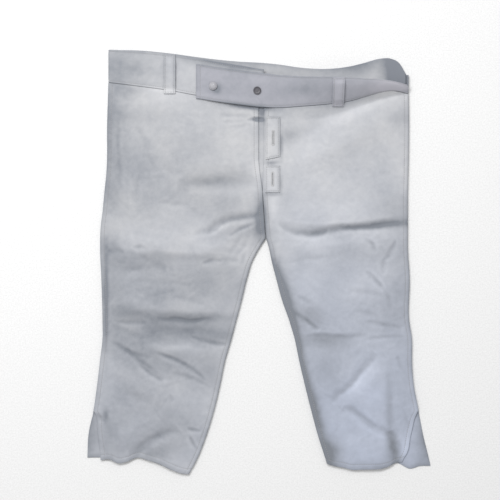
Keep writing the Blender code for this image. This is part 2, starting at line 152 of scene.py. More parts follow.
# A fold is a ridge or trough along a bowed line, with its own width on each side of it
FOLD_COLUMNS = ("x0", "y0", "x1", "y1", "bow", "height", "left_width", "right_width")
FOLDS = {
    "right hip roll": (-140, 164, 20, 160, 4, 3.0, 18, 18),
    "right hip hollow": (-140, 128, 12, 134, 2, -4.5, 12, 13),
    "right crotch crease": (8, 74, -90, 52, -11, -4.6, 6, 8),
    "right crotch ridge": (-10, 50, -110, 14, 0, 3.0, 13, 13),
    "right thigh ridge": (-262, 20, -36, 12, 6, 5.0, 24, 12),
    "right thigh hollow": (-266, -8, -140, -16, 0, -3.0, 12, 16),
    "right knee roll": (-262, -82, -34, -86, 4, 6.0, 24, 12),
    "right knee hollow": (-262, -114, -44, -124, 0, -4.5, 22, 24),
    "right shin ridge": (-200, -146, -46, -152, 0, 4.0, 11, 12),
    "right shin crease": (-264, -132, -158, -206, 5, -3.2, 6, 6),
    "right shin roll": (-262, -166, -160, -238, 0, 2.5, 16, 16),
    "right hem crease": (-224, -340, -136, -284, 9, -4.4, 9, 10),
    "right hem roll": (-262, -320, -170, -262, 0, 3.0, 18, 16),
    "left waist hollow": (46, 208, 210, 292, -2, -2.0, 14, 11),
    "left hip roll": (60, 176, 250, 262, -6, 4.0, 26, 24),
    "left thigh roll": (36, 72, 252, 84, -10, 4.5, 26, 9),
    "left thigh crease": (34, 64, 118, 52, -11, -4.4, 8, 6),
    "left thigh crease end": (86, 49, 264, 68, 1, -5.0, 8, 6),
    "left thigh ridge": (60, 26, 250, 36, 0, 3.0, 14, 20),
    "left inseam crease": (58, -84, 102, -116, 0, -3.5, 5, 6),
    "left knee crease": (58, -132, 184, -128, 0, -3.5, 8, 12),
    "left shin crease": (198, -156, 118, -240, 5, -3.8, 6, 8),
    "left shin ridge": (214, -176, 140, -250, 0, 3.5, 14, 14),
    "left hem crease": (142, -246, 236, -300, 0, -5.0, 7, 8),
    "left hem crease end": (220, -286, 240, -350, 4, -5.0, 8, 10),
    "left hem roll": (130, -290, 210, -356, 0, 3.0, 18, 18),
}
# Smaller creases between the largest folds
CREASES = {
    "right fly pucker deep": (-20, 241, 12, 241, 0, -3.2, 2.8, 3.2),
    "right fly pucker high": (-72, 252, 2, 242, 2, -1.4, 4, 5),
    "right fly pucker middle": (-64, 241, 2, 240, 0, -1.2, 4, 4),
    "right fly pucker low": (-50, 231, 0, 238, -2, -1.2, 4, 5),
    "right side streak outer": (-240, 240, -239, 178, 1, -1.2, 5, 5),
    "right side streak long": (-236, 190, -238, 118, -2, -1.4, 6, 6),
    "right side streak broad": (-212, 232, -176, 150, 5, -2.2, 10, 8),
    "right side streak inner": (-204, 150, -200, 98, -3, -1.4, 8, 7),
    "right side dent": (-217, 122, -207, 98, 0, -0.9, 7, 7),
    "right hip short crease": (-176, 158, -126, 150, 2, -0.9, 6, 7),
    "right hip end": (-136, 142, -122, 108, 5, -0.9, 6, 7),
    "right seat line": (-172, 100, -118, 99, 0, -1.2, 5, 6),
    "right seat dent": (-118, 92, -94, 72, 2, -1.0, 7, 7),
    "right crotch tail": (-62, 64, -114, 46, 4, -2.6, 6, 7),
    "right crotch short crease": (-8, 64, -50, 44, -2, -1.9, 4, 5),
    "right crotch fine upper": (-16, 46, -36, 14, 2, -0.9, 4, 5),
    "right crotch fine middle": (-28, 44, -50, 10, -2, -0.8, 5, 5),
    "right crotch fine lower": (-20, 24, -28, -8, -1, -0.9, 4, 4),
    "right crotch fine last": (-10, 34, -18, 6, -1, -0.7, 3, 4),
    "right thigh dash": (-216, 23, -184, 21, 1, -2.2, 4, 5),
    "right thigh left end": (-262, 16, -226, 10, 2, -2.2, 6, 6),
    "right thigh pinch": (-98, -2, -62, 0, 1, -2.2, 4, 5),
    "right thigh pinch tail": (-72, 0, -30, 2, 1, -1.2, 6, 7),
    "right thigh diagonal": (-206, 12, -156, -16, 2, -1.6, 9, 9),
    "right thigh arc": (-244, -26, -190, -8, 4, -1.2, 9, 9),
    "right thigh faint": (-220, -34, -110, -40, 3, -1.2, 6, 6),
    "right knee faint": (-150, -62, -90, -72, 3, -1.4, 6, 6),
    "right knee line": (-176, -96, -76, -97, -2, -2.2, 4, 7),
    "right knee left line": (-250, -98, -190, -104, -3, -1.8, 5, 5),
    "right knee middle line": (-176, -114, -64, -120, -2, -0.8, 8, 8),
    "right knee lower line": (-118, -128, -46, -140, -3, -2.4, 5, 4),
    "right knee left fold": (-252, -104, -196, -132, -2, -1.3, 7, 8),
    "right shin branch": (-174, -156, -88, -202, 6, -3.0, 5, 6),
    "right shin second": (-206, -172, -162, -204, -2, -2.2, 4, 5),
    "right shin third": (-232, -150, -182, -166, 0, -1.8, 5, 5),
    "right shin faint": (-150, -190, -80, -214, 3, -1.4, 5, 6),
    "right shin dimple": (-232, -222, -180, -242, 2, -2.0, 9, 8),
    "right shin pit": (-152, -222, -146, -240, 0, -1.2, 5, 5),
    "right hem dash": (-126, -281, -98, -286, 0, -2.4, 3.5, 4),
    "right hem short": (-120, -294, -106, -320, 0, -1.8, 3.5, 4),
    "right hem side": (-280, -256, -262, -272, 0, -1.6, 4, 5),
    "right hem ripple": (-200, -330, -130, -338, 2, -1.0, 6, 5),
    "left thigh pucker": (178, 40, 202, 16, 3, -2.2, 5, 6),
    "left side pucker": (234, 38, 212, 2, 5, -2.2, 5, 5),
    "left side pucker tail": (214, 8, 211, -20, 0, -1.6, 5, 5),
    "left thigh slash": (180, -14, 213, -46, 1, -2.8, 5, 6),
    "left side crease": (212, -44, 224, -86, 1, -1.6, 5, 5),
    "left thigh faint": (50, 0, 120, 8, 2, -1.2, 6, 6),
    "left thigh middle": (150, -52, 214, -58, 2, -1.4, 7, 7),
    "left knee upper": (160, -82, 206, -96, 2, -1.4, 6, 7),
    "left inner dent": (66, -58, 96, -74, 0, -1.6, 6, 6),
    "left knee line": (66, -125, 196, -127, 1, -0.9, 3.5, 5),
    "left knee side": (174, -105, 246, -110, 2, -1.4, 4, 5),
    "left knee lower side": (176, -134, 254, -126, 2, -1.3, 4, 5),
    "left shin pleat": (219, -190, 221, -300, 2, -1.2, 7, 7),
    "left shin side dent": (236, -160, 246, -186, 0, -1.4, 6, 6),
    "left hem notch crease": (232, -316, 238, -344, 0, -2.0, 5, 5),
    "left hem side crease": (244, -250, 262, -330, 3, -1.2, 5, 6),
    "left hip line": (70, 150, 240, 152, 4, -1.0, 10, 12),
    "left hip diagonal": (170, 232, 216, 180, 3, -1.0, 10, 12),
    "left thigh long": (60, 104, 190, 110, -4, -0.8, 10, 10),
}

# Random waves: their size, how far they are drawn in along x, and their seed
WAVES = {
    "bend across": (60, 1, 11),
    "bend along": (60, 1, 12),
    "swell": (46, 0.8, 13),
    "wrinkle": (17, 0.55, 14),
    "fine": (9, 0.8, 15),
    "wrinkled places": (80, 1, 16),
    "waver across": (44, 1, 21),
    "waver along": (44, 1, 22),
    "small waver across": (15, 1, 23),
    "small waver along": (15, 1, 24),
    "crease depth": (22, 1, 25),
}
LATTICE = 256
BEND = 14
WAVER = 3.5
SMALL_WAVER = 0.15 * WAVER

# Soft patches of dirt, painted shade and painted light: place, reach each way, turn in degrees
# and how dark, where a negative amount paints light
DIRT_AND_SHADE_COLUMNS = ("x", "y", "reach_x", "reach_y", "turn", "amount")
FRONT_DIRT_AND_SHADE = {
    "right side pocket": (-206, 176, 52, 70, 0, 0.2),
    "right pocket foot": (-216, 92, 52, 34, 0, 0.2),
    "right side low": (-252, 112, 18, 32, 0, 0.25),
    "right front top": (-150, 284, 50, 13, -6, -0.2),
    "right front corner": (-219, 290, 24, 14, 0, 0.28),
    "right hip side": (-210, 250, 50, 16, 0, 0.22),
    "right waist corner": (-252, 240, 26, 110, 0, 0.42),
    "right hip": (-120, 164, 90, 62, 0, 0.2),
    "right hip hollow": (-78, 136, 44, 12, 2, 0.30),
    "right seat": (-130, 112, 40, 16, 0, 0.16),
    "right seat inner": (-66, 96, 52, 24, 0, 0.2),
    "right thigh left end": (-254, 28, 20, 28, 0, 0.34),
    "right thigh": (-184, -4, 72, 28, -4, 0.36),
    "right thigh inner": (-66, -20, 50, 30, 0, 0.26),
    # The knee rows paint the shade under the thigh's roll, in the knee's hollow and along the rolled
    # side
    "right knee upper": (-140, -56, 100, 34, 0, 0.46),
    "right knee": (-138, -118, 100, 24, -3, 0.58),
    "right knee corner": (-222, -84, 26, 12, 0, 0.4),
    "right knee side": (-250, -56, 24, 64, 0, 0.32),
    "right knee seam": (-260, -62, 4, 84, 0, 0.45),
    "right knee top": (-110, -96, 74, 9, 0, 0.35),
    "right shin side": (-216, -152, 60, 34, -24, 0.42),
    "right shin": (-200, -236, 80, 60, -8, 0.30),
    "right shin crease": (-130, -180, 56, 24, -28, 0.34),
    "right shin inner": (-82, -172, 24, 44, 15, 0.25),
    "right hem": (-152, -300, 60, 34, 30, 0.30),
    "right vent edge": (-272, -312, 9, 40, 0, -0.25),
    "right waist seam": (-178, 294, 84, 5, -8, -0.35),
    "right knee inner": (-62, -126, 26, 16, 0, 0.2),
    "right hem corner": (-261, -264, 5, 12, 0, 0.45),
    "right hem side": (-260, -304, 30, 36, 0, 0.34),
    "right hem foot": (-186, -322, 30, 12, 0, 0.3),
    # Painted shade in the crotch's seam and creases
    "crotch seam": (3, 76, 9, 30, -3, 0.85),
    "crotch crease": (-34, 74, 32, 9, 8, 0.3),
    "below the crotch crease": (-30, 50, 36, 14, 10, 0.32),
    "crotch": (6, 70, 22, 50, 0, 0.14),
    # Painted light that takes back part of the shade in the fly's opening
    "fly": (5, 190, 9, 60, 0, -0.3),
    "fly foot": (0, 152, 16, 24, 0, -0.3),
    # Painted shadows beside and under the two fly tabs
    "shadow beside the upper tab": (38, 196, 3, 22, 0, 0.5),
    "shadow under the upper tab": (22, 168, 12, 3, 4, 0.5),
    "shadow beside the lower tab": (37.5, 130, 3, 16, 0, 0.35),
    "shadow under the lower tab": (24, 114, 13, 3, 0, 0.5),
    "beside the crotch": (22, 96, 14, 36, 0, -0.3),
    "button shade": (-72, 293, 7, 7, 0, 0.8),
    # Painted shade in the deep pucker by the fly's top and at the top of its opening
    "fly pucker": (-1, 241, 8, 3, 0, 1.8),
    "shade atop the fly": (5, 254, 5, 12, 0, 0.45),
    "tab shadow": (-20, 263, 34, 4, -7, 0.9),
    "right band under tab": (-46, 335, 74, 9, -8, 0.62),
    "right band": (-218, 330, 44, 24, -7, 0.46),
    "band tab": (-50, 292, 60, 24, 0, 0.2),
    "band middle": (72, 291, 46, 15, 0, 0.42),
    # Painted light that takes back part of the shade on the lifted band's end
    "painted light on the left band end": (222, 292, 28, 11, 0, -0.6),
    "left waist": (88, 224, 40, 12, 14, 0.1),
    "left waist top": (56, 250, 30, 12, 10, 0.06),
    "left fly side": (52, 214, 18, 14, 0, 0.35),
    # Painted light that takes back part of the shade on the slope up to the open waist
    "painted light on the left waist slope": (170, 262, 80, 16, 26, -0.3),
    "left hip": (180, 190, 80, 40, 10, 0.06),
    "left hip pale": (95, 190, 50, 20, 20, -0.15),
    # Painted shade on the lower side of the left thigh's crease
    "left thigh line": (210, 62, 64, 7, 5, 0.7),
    "left thigh line low": (96, 49, 44, 7, 0, 0.3),
    "left thigh": (200, 16, 70, 26, 0, 0.16),
    "left inner thigh": (62, 10, 30, 20, 0, 0.15),
    "left side": (236, -20, 30, 80, 0, 0.16),
    "left hip side": (232, 90, 40, 26, 0, 0.25),
    "left waist side": (240, 244, 20, 14, 0, 0.2),
    # Painted shade where the left leg's inner edge rolls away, down to the hem's corner
    "left inseam high": (36, -38, 13, 64, 20, 0.8),
    "left inseam": (62, -128, 9, 60, 14, 0.7),
    "left inseam low": (95, -256, 10, 90, 16, 0.65),
    "left hem corner": (122, -326, 20, 22, 0, 0.7),
    "left hem edge": (190, -346, 70, 9, 0, 0.12),
    "left shin": (116, -176, 50, 50, 14, 0.24),
    "left shin pale": (186, -222, 28, 26, 0, -0.25),
    "left knee": (112, -137, 44, 13, 0, 0.36),
    "left knee inner": (84, -94, 26, 22, -30, 0.44),
    "left knee side": (208, -96, 52, 50, 0, 0.2),
    "left shin side": (246, -220, 20, 70, 0, 0.1),
    "left pleat": (222, -250, 8, 60, 0, 0.2),
    "left hem notch": (228, -316, 10, 26, 6, 0.6),
    "left hem": (238, -290, 34, 60, 0, 0.05),
    "left vent edge": (257, -304, 9, 46, -17, -0.38),
}
# The same on the pieces of the back, whose inner face shows in the open waist
BACK_DIRT_AND_SHADE = {
    # Painted shade deep inside the open waist
    "shade inside the waist": (240, 322, 26, 40, 0, 1.5),
    "top edge": (0, 352, 240, 16, -3, 0.35),
    # Painted shade behind the front band and at the end of the open waist
    "shade behind the band": (60, 322, 60, 9, 2, 0.14),
    "shade at the waist end": (168, 328, 34, 14, 8, 0.38),
    "seat": (-60, 40, 90, 80, 0, 0.3),
    "left seat": (100, 20, 70, 90, 0, 0.2),
    "right knee back": (-160, -110, 80, 50, 0, 0.3),
    "left knee back": (160, -110, 70, 50, 0, 0.3),
    # Painted shade where the fronts' open vent edges shade the back
    "right vent": (-286, -296, 14, 60, 0, 0.4),
    "left vent": (284, -310, 22, 60, 0, 0.35),
}

# What makes the leather look soiled, with painted shade in its hollows and along its rims, and by how
# much
EDGE_DARKENING_REACH = 5.0
HOLLOW_REACH = 4.5
HOLLOW_DEPTH = 1.0
HOLLOW_RANGE = (-1, 1.6)
BASE_DIRT = 0.28
HOLLOW_DIRT_AND_SHADE = 0.34
EDGE_DIRT_AND_SHADE = 0.34
CLOUD_DIRT = 0.75
SPECK_DIRT = 0.3
BAND_DIRT_DEPTH = 0.8
# The hide grows bluer down the garment and towards the wearer's left: the start and the reach of
# that along -y or x, and the least share
COOL_DOWN = (-260, 620, 0.1)
COOL_ACROSS = (-10, 90, 0.35)
COOL_CLOUDS = 0.5
GRAIN = 1.3

# How fine the grids are: distances near a rim, and angles on a rolled edge and on a flat one
RIM = (0.0, 0.1, 0.32, 0.8)
ROLL_ANGLES = (0.5, 0.8, 1.1, 1.35)
FLAT_ANGLES = np.linspace(0.85, 1.4, len(ROLL_ANGLES))
EDGE_COUNT = len(RIM) + len(ROLL_ANGLES) + 1
GRID_STEP = 2.1
BACK_STEP = 4.2
PATCH_STEP = 1.4

# A row of stitches lies at the middle of its marks, in a groove
SEAM_MARKS = np.array((-1.8, -1.2, -0.6, 0.0, 0.6, 1.2, 1.8))
HALF_SEAM = len(SEAM_MARKS) // 2
GROOVE_DEPTH = 0.42
GROOVE_WIDTH = 1.1
SIDE_STITCH = 4.2
HEM_STITCH = 9.0
BAND_STITCH = 3.4
TAB_STITCH = 2.8
# The grid lines of such rows beside the first and the last edge or rim
EDGE_SEAMS = (EDGE_COUNT + HALF_SEAM, -1 - EDGE_COUNT - HALF_SEAM)
RIM_SEAMS = (len(RIM) + HALF_SEAM, -1 - len(RIM) - HALF_SEAM)

# Small pieces
UNDERLAP = {"x": (-17, 26), "y": (112, 284)}
FLY_TABS = {
    "fly_tab_upper": {"x": (11, 36), "y": (173, 246), "slant": 5, "slit": (24, 210, 22)},
    "fly_tab_lower": {"x": (10.5, 35.5), "y": (117, 163), "slant": 0, "slit": (23, 140, 20)},
}
SLIT_WIDTH = 0.9
SLIT_CUT = (-20.0, 60.0)
LOOP_WIDTH = 20.0
LOOP_LEATHER = 1.8
LOOP_BELLY = 2.6
LOOP_RAMP = (0.08, 0.16)
LOOP_INSET = 1.0
LOOP_REACH = 6.0
LOOP_PLACES = {"belt_loop_right": -152.0, "belt_loop_left": 134.0}
BUTTONS = {
    "button_light": {"x": -78.0, "y": 298.0, "radius": 7.0, "slot": "button_leather"},
    "button_dark": {"x": -3.0, "y": 290.0, "radius": 6.6, "slot": "button_horn"},
}
BUTTON_SIDES = 40
# A button leans as the band does this far round it, and rises by a share of its radius and lean
BUTTON_BASE = 4.0
BUTTON_RISE = 0.4
THREAD = 0.75
THREAD_RINGS = (-0.9, -0.45, 0.45, 0.9)
THREAD_SIDES = 6
STITCH_LENGTH = 2.7
STITCH_GAP = 1.1
BUTTONHOLE_STITCH = 2.2
BUTTONHOLE_REACH = 1.8
BUTTONHOLE_PITCH = 0.95
BUTTONHOLE_FAN = np.linspace(0.25, math.pi - 0.25, 7)
# How far threads stand up, as shares of their width
STITCH_RISE = 0.2
BUTTONHOLE_RISE = 0.3

# Finishes of one colour: the material's name, its colour, its roughness and its coat. No name here
# is a slot's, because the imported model's own materials have those.
FINISHES = {
    "button_leather": ("button_cover", (0.40, 0.40, 0.43), 0.55, 0.1),
    "button_horn": ("turned_horn", (0.07, 0.066, 0.08), 0.5, 0.12),
    "sewing": ("sewing_thread", (0.42, 0.42, 0.43), 0.85),
    "buttonholes": ("buttonhole_thread", (0.62, 0.62, 0.63), 0.85),
}

# The stage, in metres but for the floor
FLOOR_REACH = 3000.0
FLOOR_DROP = 0.2
LAMP_SIZE = (1.8, 0.7)
LAMP_PLACE = (-0.6, 1.1, 2.0)
CAMERA_PLACE = (-0.0153, 0.01955)
LENS = 85
SENSOR = 36

# Each sheet: what it was cut to, width and length in metres, its flat area where it is no
# rectangle, its slot, its hide, the dirt and painted shade that it has beyond its place's, and
# its thickness
SHEETS = {
    "front_right": ((0.30, 0.67), 0.150, "leather", "white", 0.0, LEATHER),
    "front_left": ((0.28, 0.63), 0.133, "leather", "white", 0.0, LEATHER),
    "back_right": ((0.31, 0.67), 0.153, "leather", "white", 0.0, LEATHER),
    "back_left": ((0.30, 0.64), 0.137, "leather", "white", 0.0, LEATHER),
    "waistband_right": ((0.268, 0.057), 0.0150, "band_leather", "pale_band", 0.0, BAND_LEATHER),
    "waistband_left": ((0.366, 0.055), 0.0190, "band_leather", "band", 0.28, BAND_LEATHER),
    "waistband_back": ((0.520, 0.062), 0.0300, "band_leather", "pale_band", 0.0, BAND_LEATHER),
    # The underlap's extra darkening is painted shade in the narrow fly opening
    "fly_underlap": ((0.043, 0.172), None, "leather", "white", 0.4, LEATHER),
    "fly_tab_upper": ((0.025, 0.073), None, "leather", "white", -0.12, LEATHER),
    "fly_tab_lower": ((0.025, 0.046), None, "leather", "white", -0.12, LEATHER),
    "belt_loop_right": ((0.020, 0.068), None, "band_leather", "pale_band", -0.05, LOOP_LEATHER),
    "belt_loop_left": ((0.020, 0.057), None, "band_leather", "band", 0.05, LOOP_LEATHER),
}


class LeatherSettings(PropertyGroup):
    """The leather's colours and how crumpled it is"""

    pale: FloatVectorProperty(
        name="Pale leather",
        description="Colour of the clean leather",
        subtype="COLOR",
        default=(0.575, 0.577, 0.59),
    )
    cool: FloatVectorProperty(
        name="Cool leather",
        description="Colour of the bluer hide of the wearer's left leg",
        subtype="COLOR",
        default=(0.50, 0.545, 0.66),
    )
    soiled_and_shaded: FloatVectorProperty(
        name="Soiled and shaded leather",
        description="Colour where the leather is worn and dirty, and of its painted shade",
        subtype="COLOR",
        default=(0.20, 0.215, 0.245),
    )
    band: FloatVectorProperty(
        name="Band leather",
        description="Colour of the waistband",
        subtype="COLOR",
        default=(0.48, 0.474, 0.525),
    )
    crumple: FloatProperty(
        name="Crumple",
        description="Height of the leather's small uneven waves, in millimetres",
        default=0.55,
        min=0.0,
        max=2.0,
    )


class StageSettings(PropertyGroup):
    """The floor, the lights and the camera"""

    floor: FloatVectorProperty(
        name="Floor", description="Colour of the floor", subtype="COLOR", default=(0.93, 0.93, 0.93)
    )
    key_power: FloatProperty(
        name="Key light", description="Power of the large soft lamp", default=42.0, unit="POWER"
    )
    sky: FloatProperty(
        name="Sky", description="Strength of the even light from all round", default=0.62
    )
    camera_height: FloatProperty(
        name="Camera height", description="Camera above the floor", default=2.017, unit="LENGTH"
    )


def smooth_at(table, key, value, at):
    """A table column as cubic pieces, whose slope at a row is that of its neighbours' chord."""
    order = np.argsort(table[key])
    knots = np.array(table[key], float)[order]
    values = np.array(table[value], float)[order]
    slopes = np.gradient(values, knots)
    at = np.clip(np.asarray(at, float), knots[0], knots[-1])
    low = np.clip(np.searchsorted(knots, at) - 1, 0, len(knots) - 2)
    span = knots[low + 1] - knots[low]
    t = (at - knots[low]) / span
    return (
        values[low] * (1 + 2 * t) * (1 - t) ** 2
        + values[low + 1] * t * t * (3 - 2 * t)
        + span * (slopes[low] * t * (1 - t) ** 2 - slopes[low + 1] * t * t * (1 - t))
    )


def straight_at(table, key, value, at):
    """A table column read along straight lines between its rows."""
    order = np.argsort(table[key])
    return np.interp(at, np.array(table[key], float)[order], np.array(table[value], float)[order])


def smooth_step(t):
    """0 below 0, 1 above 1, and 3t^2 - 2t^3 between."""
    t = np.clip(t, 0, 1)
    return t * t * (3 - 2 * t)


def grown(place, start, reach, least):
    """A share that is the least one at the start and grows smoothly to 1 over the reach."""
    return least + (1 - least) * smooth_step((place - start) / reach)


def side_x(side, y):
    """Where the side seam runs at a height up the garment."""
    return smooth_at(SIDE_SEAMS, "y", side, y)


def inner_x(side, y):
    """The centre front edge above the crotch and the inseam below it."""
    sign = 1 if side == "left" else -1
    upper = straight_at(FLY, "y", "centre", y) + sign * straight_at(FLY, "y", "gap", y) / 2
    return np.where(y > CROTCH[1], upper, smooth_at(INSEAMS, "y", side, y))


def fold(x, y, row, power=3.0, taper=0.0):
    """Height times (1 - |2s - 1|^power) along the bowed line, times exp(-(d / width)^2) across it.

    With a taper the width shrinks by that share towards both ends.
    """
    f = dict(zip(FOLD_COLUMNS, row))
    along_x, along_y = f["x1"] - f["x0"], f["y1"] - f["y0"]
    length = math.hypot(along_x, along_y)
    along_x, along_y = along_x / length, along_y / length
    s = ((x - f["x0"]) * along_x + (y - f["y0"]) * along_y) / length
    inside = np.clip(s, 0, 1)
    across = (y - f["y0"]) * along_x - (x - f["x0"]) * along_y
    across = across - 4 * f["bow"] * inside * (1 - inside)
    fade = 1 - np.abs(2 * inside - 1) ** power
    width = np.where(across > 0, f["left_width"], f["right_width"]) * (1 - taper * (1 - fade))
    return f["height"] * fade * np.exp(-((across / width) ** 2))


def waves(x, y, which):
    """Smooth random waves, nearly all of them between -1 and 1.

    A lattice of seeded slopes, blended between its corners by 6t^5 - 15t^4 + 10t^3, times 1.5.
    """
    size, drawn_in, seed = WAVES[which]
    lattice = np.random.default_rng(seed).uniform(0, 2 * math.pi, (LATTICE, LATTICE))
    gx, gy = x * drawn_in / size + LATTICE / 4, y / size + LATTICE / 4
    ix, iy = np.floor(gx).astype(int), np.floor(gy).astype(int)
    fx, fy = gx - ix, gy - iy
    ease_x, ease_y = (t**3 * (t * (6 * t - 15) + 10) for t in (fx, fy))
    total = 0
    for dx in (0, 1):
        for dy in (0, 1):
            angle = lattice[(ix + dx) % LATTICE, (iy + dy) % LATTICE]
            slope = np.cos(angle) * (fx - dx) + np.sin(angle) * (fy - dy)
            share = (ease_x if dx else 1 - ease_x) * (ease_y if dy else 1 - ease_y)
            total = total + slope * share
    return 1.5 * total


def crumple(x, y):
    """Uneven small waves: a swell, 0.45 of the wrinkles where they show, and 0.16 of fine waves.

    A wrinkle is 0.5 - 2 |waves|, which is sharp along a line. Slow waves bend all three sets.
    """
    bent = (x + BEND * waves(x, y, "bend across"), y + BEND * waves(x, y, "bend along"))
    wrinkle = 0.5 - 2 * np.abs(waves(*bent, "wrinkle"))
    shown = 0.5 + 0.5 * waves(x, y, "wrinkled places")
    return waves(*bent, "swell") + 0.45 * wrinkle * shown + 0.16 * waves(*bent, "fine")


def waist_lift(x, y):
    """How far the waist stands open: nothing below the hollow, all of it at the band's top edge."""
    start = straight_at(LIFT_START, "x", "y", x)
    top = smooth_at(WAIST, "x", "left_top", x)
    return smooth_at(WAIST, "x", "lift", x) * smooth_step((y - start) / (top - start)) ** LIFT_POWER


def edge_fade(x, y):
    """0 at the sides, inseams and crotch, and 1 in the middle of a leg."""
    on_left = x > straight_at(FLY, "y", "centre", y)
    from_side = np.where(on_left, side_x("left", y) - x, x - side_x("right", y))
    from_inseam = np.where(on_left, x - inner_x("left", y), inner_x("right", y) - x)
    from_crotch = np.hypot(x - CROTCH[0], y - CROTCH[1])
    from_inner = np.where(y > CROTCH[1], from_crotch, np.minimum(from_inseam, from_crotch))
    from_side, from_inner = np.clip(from_side, 0, None), np.clip(from_inner, 0, None)
    return (1 - np.exp(-from_side / CROWN_REACH)) * (1 - np.exp(-from_inner / CROWN_REACH))


def wavered(place, x, y, way):
    """A coordinate moved by slow random waves and by a small share of quick ones."""
    slow, quick = waves(x, y, f"waver {way}"), waves(x, y, f"small waver {way}")
    return place + WAVER * slow + SMALL_WAVER * quick


def front_height(x, y):
    """Sides' height, plus crown, folds and creases faded at the edges, plus the waist's lift.

    The folds' lines waver a little. Crown and folds are kept above the back by a soft limit,
    lowest + softness ln(1 + exp((height - lowest) / softness)). Creases come and go in depth.
    """
    x, y = np.asarray(x, float), np.asarray(y, float)
    bulge = edge_fade(x, y)
    bent_x, bent_y = wavered(x, x, y, "across"), wavered(y, x, y, "along")
    folds = sum(fold(bent_x, bent_y, row) for row in FOLDS.values())
    height = SIDE_HEIGHT + smooth_at(CROWN, "y", "height", y) * bulge + folds * bulge
    above = (height - LOWEST_TOP) / LOWEST_SOFTNESS
    height = LOWEST_TOP + LOWEST_SOFTNESS * np.logaddexp(0, above)
    creases = sum(fold(bent_x, bent_y, row, power=2.0, taper=0.5) for row in CREASES.values())
    creases = creases * (0.9 + 0.5 * waves(x, y, "crease depth"))
    small = creases * CREASE_SHARE + bpy.context.scene.breeches_leather.crumple * crumple(x, y)
    return height + waist_lift(x, y) + smooth_step(bulge / CREASE_FADE) * small


def seam_height(side, y):
    """The side seams lie halfway up the rolled edge, higher where the waist stands open."""
    edge = side_x(side, y)
    return (SIDE_HEIGHT + waist_lift(edge, y)) / 2


def rolled_columns(width, outer_roll, inner_roll, turns, step):
    """Places across each row and the roll angle at each, close together on both edges and seams.

    A place on a rolled edge is r (1 - cos a). On a flat edge the angles are chosen so that the
    first places lie at the rim's own distances. Past each roll come the seam's marks.
    """
    def edge(radius, turn):
        """Angles from an edge inwards, blended from a flat edge's to a rolled one's by the turn."""
        rim = np.array(RIM) / radius[:, None]
        rolled = np.concatenate([rim, np.tile(ROLL_ANGLES, (len(radius), 1))], axis=1)
        past_rim = np.tile(FLAT_ANGLES, (len(radius), 1))
        flat = np.concatenate([np.arccos(1 - rim), past_rim], axis=1)
        angle = turn[:, None] * rolled + (1 - turn[:, None]) * flat
        return np.concatenate([angle, np.full((len(radius), 1), math.pi / 2)], axis=1)

    outer_angle, inner_angle = edge(outer_roll, turns[0]), edge(inner_roll, turns[1])[:, ::-1]
    outer = outer_roll[:, None] * (1 - np.cos(outer_angle))
    inner = width[:, None] - inner_roll[:, None] * (1 - np.cos(inner_angle))
    outer_marks = outer_roll[:, None] + SIDE_STITCH + SEAM_MARKS
    inner_marks = (width - inner_roll)[:, None] - SIDE_STITCH + SEAM_MARKS
    first, last = outer_marks[:, -1:], inner_marks[:, :1]
    middle = max(int(np.max(last - first) / step), 4)
    spread = first + (last - first) * np.linspace(0, 1, middle + 2)[1:-1]
    places = np.concatenate([outer, outer_marks, spread, inner_marks, inner], axis=1)
    level = np.full((len(width), places.shape[1] - EDGE_COUNT), math.pi / 2)
    return places, np.concatenate([outer_angle, level], 1), np.concatenate([level, inner_angle], 1)


def marked_steps(length, step, marks):
    """Places from 0 to 1 along a length: rims and stitch marks at both ends, even steps between."""
    ends = [np.concatenate([RIM, mark + SEAM_MARKS]) if mark else np.array(RIM) for mark in marks]
    first, last = ends[0], length - ends[1][::-1]
    count = max(int((last[0] - first[-1]) / step), 3)
    return np.concatenate([first, np.linspace(first[-1], last[0], count + 1)[1:-1], last]) / length


def roll_down(height, seams, turns, angles):
    """Brings each edge of a wall from its own height to its seam's by 1 - sin(angle)."""
    z = height
    for seam, turn, angle in zip(seams, turns, angles):
        z = z - (turn[:, None] * (1 - np.sin(angle))) * (height - seam[:, None])
    return z


